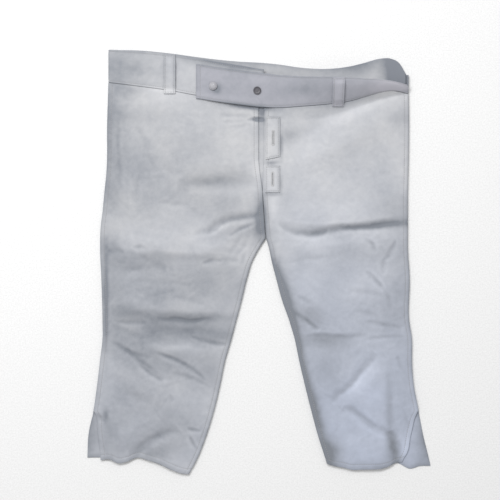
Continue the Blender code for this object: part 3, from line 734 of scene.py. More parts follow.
def panel_points(side, is_front, step):
    """Outer face of a leg panel.

    Its rows run from the side seam to the centre front or the inseam, and follow one another from
    the waist to the hem. Near both ends they bend to the waist's line and the hem's.
    """
    name = f"{'front' if is_front else 'back'}_{side}"
    seam = f"{side}_seam" if is_front else "back_seam"
    hem_outer, hem_inner = HEM_CORNERS[name]
    v = marked_steps(WAIST_LEVEL - hem_outer, step, (0, HEM_STITCH))
    waist_outer = smooth_at(WAIST, "x", seam, side_x(side, WAIST_LEVEL)) - SEAM_GAP
    waist_inner = smooth_at(WAIST, "x", seam, inner_x(side, WAIST_LEVEL)) - SEAM_GAP
    y_outer = waist_outer + (hem_outer - waist_outer) * v
    y_inner = waist_inner + (hem_inner - waist_inner) * v
    x_outer = side_x(side, y_outer)
    if is_front:
        x_outer = x_outer - np.sign(x_outer) * smooth_at(VENT, "y", side, y_outer)
        x_inner = inner_x(side, y_inner)
    else:
        closed = straight_at(FLY, "y", "centre", y_inner) + np.sign(x_outer) * SEAM_GAP / 2
        x_inner = np.where(y_inner > CROTCH[1], closed, inner_x(side, y_inner))
    width = np.abs(x_inner - x_outer)
    open_vent = smooth_step((VENT_TOP - y_outer) / VENT_RELEASE)
    turns = (1 - open_vent, np.clip(straight_at(FLY, "y", "roll", y_inner), 0, 1))
    outer_roll = seam_height(side, y_outer)
    inner_roll = np.full_like(width, SIDE_HEIGHT / 2)
    places, *angles = rolled_columns(width, outer_roll, inner_roll, turns, step)
    u = places / width[:, None]
    x = x_outer[:, None] + (x_inner - x_outer)[:, None] * u
    y = y_outer[:, None] + (y_inner - y_outer)[:, None] * u
    top_line = smooth_at(WAIST, "x", seam, x[0]) - SEAM_GAP
    y = y + (top_line - y[0]) * (1 - smooth_step(v / EDGE_BLEND))[:, None]
    near_hem = smooth_step((v - 1 + EDGE_BLEND) / EDGE_BLEND)[:, None]
    y = y + smooth_at(HEMS, "place", name, u[-1]) * near_hem
    gap = SEAM_GAP / 2 if is_front else -SEAM_GAP / 2
    seams = (seam_height(side, y_outer) + gap, np.full(len(v), SIDE_HEIGHT / 2 + gap))
    height = np.zeros_like(x)
    if is_front:
        lain = VENT_DROP * open_vent[:, None] * np.exp(-((places / VENT_REACH) ** 2))
        height = np.maximum(front_height(x, y) - lain, LOWEST_TOP)
    return np.stack([x, y, roll_down(height, seams, turns, angles)], axis=-1)


def band_points(start, end, top, bottom, height, rolls, seams, turns):
    """Outer face of a waistband piece: rows run along it, from its top edge to its lower seam."""
    down = marked_steps(BAND_DEPTH, GRID_STEP, (BAND_STITCH, BAND_STITCH))
    rows = len(down)
    width = np.full(rows, abs(end - start))
    rolls = [np.full(rows, float(r)) for r in rolls]
    turns = [np.full(rows, float(t)) for t in turns]
    places, *angles = rolled_columns(width, rolls[0], rolls[1], turns, GRID_STEP)
    x = start + math.copysign(1, end - start) * places
    upper, lower = smooth_at(WAIST, "x", top, x), smooth_at(WAIST, "x", bottom, x)
    y = upper + (lower - upper) * down[:, None]
    z = roll_down(height(x, y), (seams[0](y[:, 0]), seams[1](y[:, -1])), turns, angles)
    return np.stack([x, y, z], axis=-1)


def right_band_height(x, y):
    """The front's own height and a little more, because the band's leather is thicker."""
    return front_height(x, y) + BAND_STEP


def left_band_height(x, y):
    """The right band's height, raised on to it past the centre, and a curl along the lower edge."""
    start, end = BAND_TAB_RAMP
    over = 1 - smooth_step((x - start) / (end - start))
    low = 1 - smooth_step((y - smooth_at(WAIST, "x", "left_seam", x)) / TAB_CURL_DEPTH)
    curl = TAB_CURL * low * smooth_step((TAB_CURL_START - x) / TAB_CURL_RAMPS[0])
    curl = curl * smooth_step((x - BAND_TAB_END) / TAB_CURL_RAMPS[1])
    return right_band_height(x, y) + over * (BAND_LEATHER + SEAM_GAP) + curl


def face_normals(points, upward):
    """Unit normals of a grid, from its own steps down and across, facing up or down as asked."""
    normal = np.cross(np.gradient(points, axis=0), np.gradient(points, axis=1))
    normal /= np.linalg.norm(normal, axis=-1, keepdims=True)
    return normal * np.sign(np.median(normal[..., 2])) * upward


def rim_distance(points):
    """Distance of each grid point from the nearest of the four rims, along its row or column."""
    lines = []
    for axis in (0, 1):
        steps = np.linalg.norm(np.diff(points, axis=axis), axis=-1)
        start = np.zeros_like(np.take(steps, [0], axis=axis))
        along = np.concatenate([start, np.cumsum(steps, axis=axis)], axis=axis)
        lines += [along, np.take(along, [-1], axis=axis) - along]
    return np.minimum.reduce(lines)


def press_seams(points, normals, columns, rows):
    """Presses the leather down along each row of stitches: depth times exp(-(mark / width)^2)."""
    dent = GROOVE_DEPTH * np.exp(-((SEAM_MARKS / GROOVE_WIDTH) ** 2))
    depth = np.zeros(points.shape[:2])
    for centre in columns:
        depth[:, centre - HALF_SEAM : centre + HALF_SEAM + 1] = dent
    for centre in rows:
        span = slice(centre - HALF_SEAM, centre + HALF_SEAM + 1)
        depth[span] = np.maximum(depth[span], dent[:, None])
    return points - normals * depth[..., None]


def wall_mesh(name, points, thickness, upward, marks):
    """A closed wall under a grid of outer points P with normals N.

    Outer face P - N t/2 (1 - s), inner face P - N t/2 (1 + s), where s = sqrt(1 - (1 - d/r)^2) for
    a point whose distance d from the rim is under r = t/2, and 1 elsewhere, so the rim is round.
    marks are values at each grid point that the leather's material reads.
    """
    normal = face_normals(points, upward)
    radius = thickness / 2
    distance = rim_distance(points)
    s = np.sqrt(np.clip(1 - (1 - np.clip(distance / radius, 0, 1)) ** 2, 0, 1))
    s[[0, -1], :] = 0
    s[:, [0, -1]] = 0
    outer = points - normal * (radius * (1 - s))[..., None]
    inner = points - normal * (radius * (1 + s))[..., None]
    rows, cols = s.shape
    outer_ids = np.arange(rows * cols).reshape(rows, cols)
    inner_ids = outer_ids.copy()
    middle = inner_ids[1:-1, 1:-1]
    middle[:] = rows * cols + np.arange(middle.size).reshape(middle.shape)
    vertices = np.concatenate([outer.reshape(-1, 3), inner[1:-1, 1:-1].reshape(-1, 3)])
    quads = [
        np.stack([ids[:-1, :-1], ids[:-1, 1:], ids[1:, 1:], ids[1:, :-1]], axis=-1).reshape(-1, 4)
        for ids in (outer_ids, inner_ids)
    ]
    drawn = np.cross(points[1, 0] - points[0, 0], points[0, -1] - points[0, 0])[2]
    facing = -1 if drawn * upward > 0 else 1
    piece = mesh_object(name, vertices, quads[0][:, ::facing], quads[1][:, ::-facing])
    # The edge mark darkens the rims, for wear and as painted shade where the edges roll away
    for key, grid in {"edge": np.exp(-distance / EDGE_DARKENING_REACH), **marks}.items():
        layer = piece.data.attributes.new(key, "FLOAT", "POINT")
        both = np.concatenate([grid.ravel(), grid[1:-1, 1:-1].ravel()])
        layer.data.foreach_set("value", both.astype(np.float32))
    return piece


def leather_marks(x, y, front):
    """Values for the leather: how hollow the surface is, how soiled and shaded, and how blue the
    hide.

    A patch of dirt and painted shade adds its amount times exp(-(along / reach_x)^2 - (across /
    reach_y)^2). A hollow is how far the surface lies under the mean of four places round it.
    """
    soil_and_shade = np.zeros_like(x)
    for row in (FRONT_DIRT_AND_SHADE if front else BACK_DIRT_AND_SHADE).values():
        f = dict(zip(DIRT_AND_SHADE_COLUMNS, row))
        turn = math.radians(f["turn"])
        along = (x - f["x"]) * math.cos(turn) + (y - f["y"]) * math.sin(turn)
        across = (y - f["y"]) * math.cos(turn) - (x - f["x"]) * math.sin(turn)
        soil_and_shade += f["amount"] * np.exp(-((along / f["reach_x"]) ** 2) - (across / f["reach_y"]) ** 2)
    hollow = np.zeros_like(x)
    # A hollow darkens in the material for the dirt in it and as painted shade in the crease
    if front:
        reach = HOLLOW_REACH
        shifts = ((reach, 0), (-reach, 0), (0, reach), (0, -reach))
        around = sum(front_height(x + dx, y + dy) for dx, dy in shifts) / len(shifts)
        hollow = np.clip((around - front_height(x, y)) / HOLLOW_DEPTH, *HOLLOW_RANGE)
    cool = grown(-y, *COOL_DOWN) * grown(x, *COOL_ACROSS)
    return {"hollow": hollow, "soil_and_shade": soil_and_shade, "cool": cool}


def mesh_object(name, vertices, *face_sets):
    """A smooth-shaded object from corners in millimetres and one array for each kind of face."""
    mesh = bpy.data.meshes.new(name)
    mesh.vertices.add(len(vertices))
    mesh.vertices.foreach_set("co", (np.asarray(vertices) * MM).astype(np.float32).ravel())
    sizes = np.concatenate([np.full(len(faces), faces.shape[1]) for faces in face_sets])
    corners = np.concatenate([faces.ravel() for faces in face_sets]).astype(np.int32)
    mesh.loops.add(len(corners))
    mesh.loops.foreach_set("vertex_index", corners)
    mesh.polygons.add(len(sizes))
    mesh.polygons.foreach_set("loop_start", (np.cumsum(sizes) - sizes).astype(np.int32))
    mesh.update(calc_edges=True)
    mesh.validate()
    mesh.shade_smooth()
    made = bpy.data.objects.new(name, mesh)
    bpy.context.scene.collection.objects.link(made)
    return made


def patch_points(x_range, y_range, height, slant=0.0, stitch=0.0):
    """Outer face of a small flat piece that follows a height function."""
    width, length = x_range[1] - x_range[0], y_range[1] - y_range[0]
    across = marked_steps(width, PATCH_STEP, (stitch, stitch))
    down = marked_steps(length, PATCH_STEP, (stitch, stitch))[:, None]
    x = x_range[0] + width * across + 0 * down
    y = y_range[1] - length * down + slant * down * across
    return np.stack([x, y, height(x, y)], axis=-1)


def loop_points(x_middle, side, height):
    """Outer face of a belt loop: both ends lie on the band, and its middle stands off it."""
    bottom = float(smooth_at(WAIST, "x", f"{side}_seam", x_middle)) - LOOP_REACH
    top = float(smooth_at(WAIST, "x", f"{side}_top", x_middle)) - LOOP_INSET
    start, ramp = LOOP_RAMP

    def raised(x, y):
        t = (top - y) / (top - bottom)
        belly = LOOP_BELLY * smooth_step((t - start) / ramp) * smooth_step((1 - start - t) / ramp)
        return height(x, y) + SEAM_GAP + LOOP_LEATHER + belly

    x_range = (x_middle - LOOP_WIDTH / 2, x_middle + LOOP_WIDTH / 2)
    return patch_points(x_range, (bottom, top), raised, stitch=TAB_STITCH)


def row_of_stitches(points, normals):
    """Centres, directions and upward directions of even stitches along a line of points."""
    steps = np.linalg.norm(np.diff(points, axis=0), axis=1)
    along = np.concatenate([[0], np.cumsum(steps)])
    count = max(int(along[-1] / (STITCH_LENGTH + STITCH_GAP)), 1)
    middles = (np.arange(count) + 0.5) * along[-1] / count

    def at(places, values):
        return np.stack([np.interp(places, along, values[:, k]) for k in range(3)], axis=-1)

    forward = at(middles + 0.5, points) - at(middles - 0.5, points)
    return at(middles, points), forward, at(middles, normals)


def capped_rings(rings, sides):
    """Faces of a shape that rises ring by ring, whose lower and upper tips follow the rings."""
    ids = np.arange(rings * sides).reshape(rings, sides)
    after = np.roll(ids, -1, axis=1)
    quads = np.stack([ids[:-1], after[:-1], after[1:], ids[1:]], axis=-1).reshape(-1, 4)
    low = np.stack([after[0], ids[0], np.full(sides, ids.size)], axis=-1)
    high = np.stack([ids[-1], after[-1], np.full(sides, ids.size + 1)], axis=-1)
    return quads, np.concatenate([low, high])


def stitch_mesh(name, rows, length):
    """Short threads, each a closed spindle.

    Its radius at place a, from -1 to 1 along it, is half the thread's times sqrt(1 - 0.85 a^2).
    """
    centres, forwards, ups = (np.concatenate(part) for part in zip(*rows))
    forwards = forwards / np.linalg.norm(forwards, axis=-1, keepdims=True)
    sides = np.cross(forwards, ups)
    sides /= np.linalg.norm(sides, axis=-1, keepdims=True)
    ups = np.cross(sides, forwards)
    a = np.array(THREAD_RINGS)[:, None]
    turn = np.linspace(0, math.tau, THREAD_SIDES + 1)[:-1]
    radius = THREAD / 2 * np.sqrt(1 - 0.85 * a * a)
    ring = (
        forwards[:, None, None] * (a * length / 2)[None, ..., None]
        + sides[:, None, None] * (radius * np.cos(turn))[None, ..., None]
        + ups[:, None, None] * (radius * np.sin(turn))[None, ..., None]
    )
    rings = centres[:, None, None] + ring
    tips = centres[:, None] + forwards[:, None] * np.array((-0.5, 0.5))[None, :, None] * length
    block = np.concatenate([rings.reshape(len(centres), -1, 3), tips], axis=1)
    quads, caps = capped_rings(len(a), THREAD_SIDES)
    shift = (np.arange(len(centres)) * block.shape[1])[:, None, None]
    # These rings turn the other way round the thread, so each face is read backwards
    quads, caps = quads[:, (0, 3, 2, 1)] + shift, caps[:, (1, 0, 2)] + shift
    return mesh_object(name, block.reshape(-1, 3), quads.reshape(-1, 4), caps.reshape(-1, 3))


def covered_profile(r):
    """Radius and height of a covered button: a shank, a flat back, a rounded rim and a dome."""
    dome = np.linspace(0.1, 1.45, 9)
    profile = [(0, 0), (2.0, 0), (2.2, 0.1), (2.2, 0.8), (r - 0.7, 0.9), (r - 0.15, 1.15)]
    profile += [(r, 1.55), (r - 0.12, 2.0), (r - 0.5, 2.4), (r - 0.95, 2.52), (r - 1.3, 2.6)]
    profile += list(zip((r - 1.3) * np.cos(dome), 2.6 + 2.2 * np.sin(dome)))
    return profile + [(0, 4.8)]


def horn_profile(r):
    """Radius and height of a horn button: a shank, a flat back, a raised rim and a sunk middle."""
    profile = [(0, 0), (2.2, 0), (2.4, 0.1), (2.4, 0.7), (r - 0.6, 0.8), (r - 0.1, 1.05), (r, 1.4)]
    profile += [(r - 0.1, 1.9), (r - 0.4, 2.2), (r - 0.8, 2.3), (r - 1.2, 2.2), (r - 1.6, 1.85)]
    return profile + [(r - 2.1, 1.7), (r * 0.35, 1.66), (1.2, 1.7), (0, 1.75)]


def turned_mesh(name, profile, place, tilt):
    """A profile of radius and height turned about its own axis, then tilted and set in place."""
    radius, height = np.array(profile, float).T[..., None]
    turn = np.linspace(0, math.tau, BUTTON_SIDES + 1)[:-1]
    turned = (radius * np.cos(turn), radius * np.sin(turn), height + 0 * turn)
    ring = np.stack(turned, axis=-1)[1:-1]
    tips = [(0, 0, height[0, 0]), (0, 0, height[-1, 0])]
    points = np.concatenate([ring.reshape(-1, 3), tips])
    across, up = np.array((1, 0, tilt[0])), np.array((0, 1, tilt[1]))
    across = across / np.linalg.norm(across)
    axis = np.cross(across, up)
    axis /= np.linalg.norm(axis)
    axes = np.stack([across, np.cross(axis, across), axis])
    return mesh_object(name, points @ axes + place, *capped_rings(len(ring), BUTTON_SIDES))


def new_group(name, inputs, outputs):
    """An empty shader node group with its sockets, its input node and its output node."""
    group = bpy.data.node_groups.new(name, "ShaderNodeTree")
    for socket, kind in inputs:
        group.interface.new_socket(socket, in_out="INPUT", socket_type=kind)
    for socket, kind in outputs:
        group.interface.new_socket(socket, in_out="OUTPUT", socket_type=kind)
    return group, group.nodes.new("NodeGroupInput"), group.nodes.new("NodeGroupOutput")


def feed(tree, socket, value):
    """Links another node's output to a socket, or sets the socket's own value."""
    if isinstance(value, bpy.types.NodeSocket):
        tree.links.new(value, socket)
    else:
        socket.default_value = value


def add_node(tree, kind, inputs=None, **settings):
    """A node with its settings and its inputs, each of them a value or another node's output."""
    made = tree.nodes.new(kind)
    for key, value in settings.items():
        setattr(made, key, value)
    for key, value in (inputs or {}).items():
        feed(tree, made.inputs[key], value)
    return made


def hide_group():
    """Grain and colour change of leather: pores and cells in millimetres, clouds of centimetres."""
    if "leather_hide" in bpy.data.node_groups:
        return bpy.data.node_groups["leather_hide"]
    group, given, out = new_group(
        "leather_hide",
        (("Grain Size", "NodeSocketFloat"),),
        (("Cloud", "NodeSocketFloat"), ("Speck", "NodeSocketFloat"), ("Height", "NodeSocketFloat")),
    )
    place = add_node(group, "ShaderNodeTexCoord").outputs["Object"]

    def noise(**inputs):
        return add_node(group, "ShaderNodeTexNoise", {"Vector": place, **inputs}).outputs["Fac"]

    wrinkle = noise(Scale=210.0, Detail=6.0, Roughness=0.65, Distortion=0.8)
    grains = {0: 1.0, 1: given.outputs["Grain Size"]}
    density = add_node(group, "ShaderNodeMath", grains, operation="DIVIDE")
    cells = add_node(
        group,
        "ShaderNodeTexVoronoi",
        {"Vector": place, "Scale": density.outputs[0], "Randomness": 0.95},
        feature="DISTANCE_TO_EDGE",
    )
    pebble = add_node(
        group,
        "ShaderNodeMapRange",
        {"Value": cells.outputs["Distance"], "From Max": 0.22, "To Max": 1.0},
        interpolation_type="SMOOTHSTEP",
    )
    height = add_node(
        group,
        "ShaderNodeMath",
        {0: pebble.outputs["Result"], 1: 0.35, 2: wrinkle},
        operation="MULTIPLY_ADD",
    )
    feed(group, out.inputs["Cloud"], noise(Scale=11.0, Detail=5.0, Roughness=0.62))
    feed(group, out.inputs["Speck"], noise(Scale=95.0, Detail=4.0, Roughness=0.7))
    feed(group, out.inputs["Height"], height.outputs[0])
    return group


def mix_colour(tree, share, low, high):
    """A blend of two colours by a share from 0 to 1."""
    made = add_node(tree, "ShaderNodeMix", {"Factor": share}, data_type="RGBA")
    for socket, value in ((made.inputs[6], low), (made.inputs[7], high)):
        feed(tree, socket, value if isinstance(value, bpy.types.NodeSocket) else (*value, 1))
    return made.outputs[2]


def new_material(name):
    """A material, its node tree and its shader's inputs."""
    made = bpy.data.materials.new(name)
    made.use_nodes = True
    return made, made.node_tree, made.node_tree.nodes["Principled BSDF"].inputs


def add_relief(tree, shader, **relief):
    """A fine relief in the shader's normal, from a height, a strength and a distance in metres."""
    bump = add_node(tree, "ShaderNodeBump", relief)
    feed(tree, shader["Normal"], bump.outputs["Normal"])


def leather_material(name, clean, cool, soiled_and_shaded, depth):
    """Leather darkened by patches, hollows, edges, clouds and specks together, times a depth: dirt
    and painted shade.
    """
    material, tree, shader = new_material(name)
    hide = add_node(tree, "ShaderNodeGroup", node_tree=hide_group())
    hide.inputs["Grain Size"].default_value = GRAIN * MM
    marks = {}
    for key in ("hollow", "soil_and_shade", "cool", "edge"):
        found = add_node(tree, "ShaderNodeAttribute", attribute_name=key, attribute_type="GEOMETRY")
        marks[key] = found.outputs["Fac"]

    def math_node(operation, a, b, clamp=False):
        made = add_node(tree, "ShaderNodeMath", {0: a, 1: b}, operation=operation, use_clamp=clamp)
        return made.outputs[0]

    cloud = math_node("SUBTRACT", hide.outputs["Cloud"], 0.5)
    speck = math_node("SUBTRACT", hide.outputs["Speck"], 0.5)
    dirt_and_shade = math_node("ADD", marks["soil_and_shade"], BASE_DIRT)
    # Hollows and rims darken for their dirt and as painted shade
    worn_and_shaded = ((marks["hollow"], HOLLOW_DIRT_AND_SHADE), (marks["edge"], EDGE_DIRT_AND_SHADE))
    uneven = ((cloud, CLOUD_DIRT), (speck, SPECK_DIRT))
    for mark, amount in worn_and_shaded + uneven:
        dirt_and_shade = math_node("ADD", dirt_and_shade, math_node("MULTIPLY", mark, amount))
    share = math_node("MULTIPLY", dirt_and_shade, depth, clamp=True)
    cool_clouds = math_node("MULTIPLY", cloud, COOL_CLOUDS)
    cool_share = math_node("ADD", marks["cool"], cool_clouds, clamp=True)
    base = mix_colour(tree, cool_share, clean, cool)
    feed(tree, shader["Base Color"], mix_colour(tree, share, base, soiled_and_shaded))
    rough_range = {"From Min": 0.3, "From Max": 0.7, "To Min": 0.66, "To Max": 0.82}
    rough = add_node(tree, "ShaderNodeMapRange", {"Value": hide.outputs["Speck"], **rough_range})
    feed(tree, shader["Roughness"], rough.outputs["Result"])
    add_relief(tree, shader, Height=hide.outputs["Height"], Strength=0.35, Distance=0.0004)
    shader["Specular IOR Level"].default_value = 0.35
    shader["Sheen Weight"].default_value = 0.12
    shader["Sheen Roughness"].default_value = 0.5
    return material


def shared_leather(which):
    """The panels' white leather, the grey band's or the pale band's, each made once."""
    name = f"{which}_hide"
    if name in bpy.data.materials:
        return bpy.data.materials[name]
    hide = bpy.context.scene.breeches_leather
    if which == "band":
        return leather_material(name, hide.band, hide.band, hide.soiled_and_shaded, BAND_DIRT_DEPTH)
    return leather_material(name, hide.pale, hide.cool, hide.soiled_and_shaded, 1.0)


def plain_material(name, colour, roughness, coat=0.0):
    """A small thing's finish, made once: one colour with fine clouds in it, and a low relief."""
    if name in bpy.data.materials:
        return bpy.data.materials[name]
    material, tree, shader = new_material(name)
    place = add_node(tree, "ShaderNodeTexCoord").outputs["Object"]
    clouds = add_node(tree, "ShaderNodeTexNoise", {"Vector": place, "Scale": 420.0, "Detail": 5.0})
    darker = tuple(c * 0.72 for c in colour)
    feed(tree, shader["Base Color"], mix_colour(tree, clouds.outputs["Fac"], darker, colour))
    add_relief(tree, shader, Height=clouds.outputs["Fac"], Strength=0.2, Distance=0.0002)
    shader["Roughness"].default_value = roughness
    shader["Coat Weight"].default_value = coat
    return material


def finish_piece(piece, slot, material, *nodes):
    """Gives a piece its material and lets it stand for its solids. The slot is not used."""
    piece.data.materials.append(material)
    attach(piece, "root")
    if nodes:
        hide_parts(*nodes)
    return piece


def sew(name, lines):
    """One piece of stitches along several lines of points with their normals, raised a little."""
    rows = []
    for points, normals in lines:
        rows.append(row_of_stitches(points + normals * THREAD * STITCH_RISE, normals))
    threads = stitch_mesh(name, rows, STITCH_LENGTH)
    return finish_piece(threads, "leather", plain_material(*FINISHES["sewing"]))


def buttonhole_rows(slit, height):
    """Stitches square to the slit along both sides, and spread like a fan round its two ends."""
    x, y, length = slit
    along = y + np.linspace(-0.5, 0.5, int(length / BUTTONHOLE_PITCH)) * length
    parts = []
    for side in (-1, 1):
        parts.append((x + side * BUTTONHOLE_REACH + 0 * along, along, side + 0 * along, 0 * along))
    for end in (-1, 1):
        out_x, out_y = np.cos(BUTTONHOLE_FAN), end * np.sin(BUTTONHOLE_FAN)
        at_y = y + end * length / 2 + BUTTONHOLE_REACH * out_y
        parts.append((x + BUTTONHOLE_REACH * out_x, at_y, out_x, out_y))
    at_x, at_y, out_x, out_y = (np.concatenate(part) for part in zip(*parts))
    centres = np.stack([at_x, at_y, height(at_x, at_y) + THREAD * BUTTONHOLE_RISE], axis=-1)
    outward = np.stack([out_x, out_y, 0 * out_x], axis=-1)
    return centres, outward, np.array((0, 0, 1.0)) + 0 * centres


def cut_buttonhole(piece, slit):
    """Takes a narrow slot with round ends right through a piece."""
    x, y, length = slit
    half, radius = (length - SLIT_WIDTH) / 2, SLIT_WIDTH / 2
    turn = np.linspace(0, math.pi, 9)
    ring_x = np.concatenate([radius * np.cos(turn), -radius * np.cos(turn)]) + x
    ring_y = np.concatenate([radius * np.sin(turn) + half, -radius * np.sin(turn) - half]) + y
    count = len(ring_x)
    rings = [np.stack([ring_x, ring_y, z + 0 * ring_x], axis=-1) for z in SLIT_CUT]
    low = np.arange(count)
    walls = np.stack([low, np.roll(low, -1), np.roll(low, -1) + count, low + count], axis=-1)
    caps = (low[None, ::-1], low[None] + count)
    cutter = mesh_object("buttonhole_cutter", np.concatenate(rings), walls, *caps)
    cut = piece.modifiers.new("buttonhole", "BOOLEAN")
    cut.object = cutter
    cut.solver = "EXACT"
    cut_piece = piece.evaluated_get(bpy.context.evaluated_depsgraph_get())
    piece.data = bpy.data.meshes.new_from_object(cut_piece)
    piece.modifiers.clear()
    bpy.data.objects.remove(cutter)


def leather_sheet(name, node, points, columns=(), rows=(), upward=1):
    """Builds one leather piece with its pressed seams, and returns it and its stitches' lines."""
    flat, area, slot, hide, soil_and_shade, thickness = SHEETS[node]
    normals = face_normals(points, upward)
    pressed = press_seams(points, normals, columns, rows)
    marks = leather_marks(points[..., 0], points[..., 1], upward > 0)
    marks["soil_and_shade"] = marks["soil_and_shade"] + soil_and_shade
    piece = wall_mesh(name, pressed, thickness, upward, marks)
    finish_piece(piece, slot, shared_leather(hide), node)
    inside = slice(len(RIM), -len(RIM))
    lines = [(pressed[inside, c], normals[inside, c]) for c in columns]
    lines += [(pressed[r, inside], normals[r, inside]) for r in rows]
    return piece, lines


def require_nodes(*nodes):
    """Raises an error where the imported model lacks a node, because a cancelled step goes unseen."""
    missing = [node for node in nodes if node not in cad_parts]
    if missing:
        raise RuntimeError(f"The packed model lacks these nodes: {', '.join(missing)}")


class BREECHES_OT_fronts(Operator):
    """Make the two front panels with their side, fly, inseam and hem stitches"""

    bl_idname = "breeches.fronts"
    bl_label = "Front panels"

    def execute(self, context):
        require_nodes("front_right", "front_left")
        for side in ("right", "left"):
            node = f"front_{side}"
            points = panel_points(side, True, GRID_STEP)
            _, lines = leather_sheet(f"leather_{node}", node, points, EDGE_SEAMS, RIM_SEAMS[1:])
            sew(f"stitches_{node}", lines)
        return {"FINISHED"}


class BREECHES_OT_backs(Operator):
    """Make the two back panels that lie on the ground"""

    bl_idname = "breeches.backs"
    bl_label = "Back panels"

    def execute(self, context):
        require_nodes("back_right", "back_left")
        for side in ("right", "left"):
            node = f"back_{side}"
            leather_sheet(f"leather_{node}", node, panel_points(side, False, BACK_STEP), upward=-1)
        return {"FINISHED"}


class BREECHES_OT_waistband(Operator):
    """Make the waistband's three pieces and their stitches"""

    bl_idname = "breeches.waistband"
    bl_label = "Waistband"

    def execute(self, context):
        require_nodes("waistband_right", "waistband_left", "waistband_back")
        right, left = (side_x(side, BAND_SIDE_LEVELS[side]) for side in ("right", "left"))
        small = SIDE_HEIGHT / 2
        tall = float(seam_height("left", BAND_SIDE_LEVELS["left"]))

        def end(side, shift):
            return lambda y: seam_height(side, y) + shift

        none = end("right", 0)
        gap = SEAM_GAP / 2
        grids = {
            "right": band_points(
                right, BAND_OVERLAP_END, "right_top", "right_seam", right_band_height,
                (small, small), (end("right", gap), none), (1, 0),
            ),
            "left": band_points(
                left, BAND_TAB_END, "left_top", "left_seam", left_band_height,
                (tall, small), (end("left", SEAM_GAP), none), (1, 0),
            ),
            "back": band_points(
                right, left, "back_top", "back_seam", lambda x, y: np.zeros_like(y),
                (small, tall), (end("right", -gap), end("left", -gap)), (1, 1),
            ),
        }
        # The columns and the rows of stitches on each piece, and the way that it faces
        stitched = {
            "right": ((), RIM_SEAMS, 1),
            "left": (EDGE_SEAMS[1:], RIM_SEAMS, 1),
            "back": ((), (), -1),
        }
        lines = []
        for which, points in grids.items():
            names = (f"leather_band_{which}", f"waistband_{which}")
            _, found = leather_sheet(*names, points, *stitched[which])
            lines += found
        sew("stitches_waistband", lines)
        return {"FINISHED"}


class BREECHES_OT_fly(Operator):
    """Make the underlap and the two tabs with their buttonholes"""

    bl_idname = "breeches.fly"
    bl_label = "Fly"

    def execute(self, context):
        require_nodes("fly_underlap", *FLY_TABS)

        def below(x, y):
            return front_height(x, y) - LEATHER - 2 * SEAM_GAP

        def above(x, y):
            return front_height(x, y) + SEAM_GAP + LEATHER

        lap = patch_points(UNDERLAP["x"], UNDERLAP["y"], below)
        leather_sheet("leather_underlap", "fly_underlap", lap)
        lines, rings = [], []
        for name, tab in FLY_TABS.items():
            points = patch_points(tab["x"], tab["y"], above, tab["slant"], TAB_STITCH)
            piece, found = leather_sheet(f"leather_{name}", name, points, RIM_SEAMS, RIM_SEAMS)
            cut_buttonhole(piece, tab["slit"])
            lines += found
            rings.append(buttonhole_rows(tab["slit"], above))
        sew("stitches_fly", lines)
        threads = stitch_mesh("stitches_buttonholes", rings, BUTTONHOLE_STITCH)
        finish_piece(threads, "leather", plain_material(*FINISHES["buttonholes"]))
        return {"FINISHED"}


class BREECHES_OT_loops(Operator):
    """Make the two belt loops and their stitches"""

    bl_idname = "breeches.loops"
    bl_label = "Belt loops"

    def execute(self, context):
        require_nodes(*LOOP_PLACES)
        lines = []
        for side, height in (("right", right_band_height), ("left", left_band_height)):
            node = f"belt_loop_{side}"
            points = loop_points(LOOP_PLACES[node], side, height)
            _, found = leather_sheet(f"leather_{node}", node, points, RIM_SEAMS, RIM_SEAMS)
            lines += found
        sew("stitches_loops", lines)
        return {"FINISHED"}


class BREECHES_OT_buttons(Operator):
    """Make the covered button and the dark button"""

    bl_idname = "breeches.buttons"
    bl_label = "Buttons"

    def execute(self, context):
        require_nodes(*BUTTONS)
        profiles = {"button_leather": covered_profile, "button_horn": horn_profile}
        for name, button in BUTTONS.items():
            x, y, radius, slot = button.values()
            tilt = tuple(
                float(left_band_height(x + dx, y + dy) - left_band_height(x - dx, y - dy))
                / (2 * BUTTON_BASE)
                for dx, dy in ((BUTTON_BASE, 0), (0, BUTTON_BASE))
            )
            ground = float(left_band_height(x, y)) + SEAM_GAP
            ground += radius * math.hypot(*tilt) * BUTTON_RISE
            profile = profiles[slot](radius)
            turned = turned_mesh(f"turned_{name}", profile, (x, y, ground), tilt)
            finish_piece(turned, slot, plain_material(*FINISHES[slot]), name)
        return {"FINISHED"}


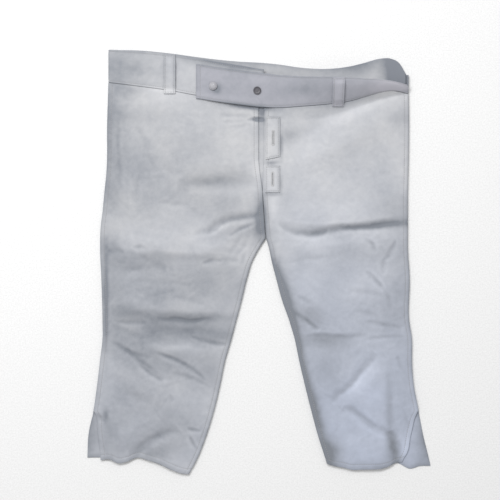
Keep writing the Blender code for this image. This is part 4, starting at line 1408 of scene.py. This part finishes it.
class BREECHES_OT_stage(Operator):
    """Make the floor, the lights and the camera"""

    bl_idname = "breeches.stage"
    bl_label = "Stage"

    def execute(self, context):
        if context.scene.camera:
            raise RuntimeError("The scene already has a camera, so the stage has been made")
        settings = context.scene.breeches_stage
        corners = np.array([(-1, -1, 0), (1, -1, 0), (1, 1, 0), (-1, 1, 0)]) * FLOOR_REACH
        floor = mesh_object("floor", corners - (0, 0, FLOOR_DROP), np.array([[0, 1, 2, 3]]))
        floor.data.materials.append(plain_material("floor_paint", settings.floor, 0.9))
        lamp = bpy.data.lights.new("key", "AREA")
        lamp.shape = "RECTANGLE"
        lamp.size, lamp.size_y = LAMP_SIZE
        lamp.energy = settings.key_power
        key = bpy.data.objects.new("key", lamp)
        key.location = LAMP_PLACE
        key.rotation_euler = (-Vector(key.location)).to_track_quat("-Z", "Y").to_euler()
        context.scene.collection.objects.link(key)
        world = bpy.data.worlds.new("soft_sky")
        world.use_nodes = True
        sky = world.node_tree.nodes["Background"].inputs
        sky["Color"].default_value = (1, 1, 1, 1)
        sky["Strength"].default_value = settings.sky
        context.scene.world = world
        lens = bpy.data.cameras.new("camera")
        lens.lens = LENS
        lens.sensor_width = SENSOR
        camera = bpy.data.objects.new("camera", lens)
        camera.location = (*CAMERA_PLACE, settings.camera_height)
        context.scene.collection.objects.link(camera)
        context.scene.camera = camera
        context.scene.view_settings.view_transform = "Standard"
        return {"FINISHED"}


OPERATORS = (
    BREECHES_OT_fronts,
    BREECHES_OT_backs,
    BREECHES_OT_waistband,
    BREECHES_OT_fly,
    BREECHES_OT_loops,
    BREECHES_OT_buttons,
    BREECHES_OT_stage,
)


class BREECHES_PT_pieces(Panel):
    """The breeches' settings and a button for each piece or group of pieces"""

    bl_idname = "BREECHES_PT_pieces"
    bl_label = "Leather breeches"
    bl_space_type = "VIEW_3D"
    bl_region_type = "UI"
    bl_category = "Breeches"

    def draw(self, context):
        for settings in (context.scene.breeches_leather, context.scene.breeches_stage):
            box = self.layout.box()
            for key in settings.bl_rna.properties.keys():
                if key not in {"rna_type", "name"}:
                    box.prop(settings, key)
        for operator in OPERATORS:
            self.layout.operator(operator.bl_idname)


CLASSES = (LeatherSettings, StageSettings, *OPERATORS, BREECHES_PT_pieces)


def register():
    for cls in CLASSES:
        bpy.utils.register_class(cls)
    bpy.types.Scene.breeches_leather = PointerProperty(type=LeatherSettings)
    bpy.types.Scene.breeches_stage = PointerProperty(type=StageSettings)


def unregister():
    del bpy.types.Scene.breeches_stage
    del bpy.types.Scene.breeches_leather
    for cls in reversed(CLASSES):
        bpy.utils.unregister_class(cls)


def main():
    register()
    bpy.ops.breeches.fronts()
    bpy.ops.breeches.backs()
    bpy.ops.breeches.waistband()
    bpy.ops.breeches.fly()
    bpy.ops.breeches.loops()
    bpy.ops.breeches.buttons()
    bpy.ops.breeches.stage()


if __name__ == "__main__":
    main()
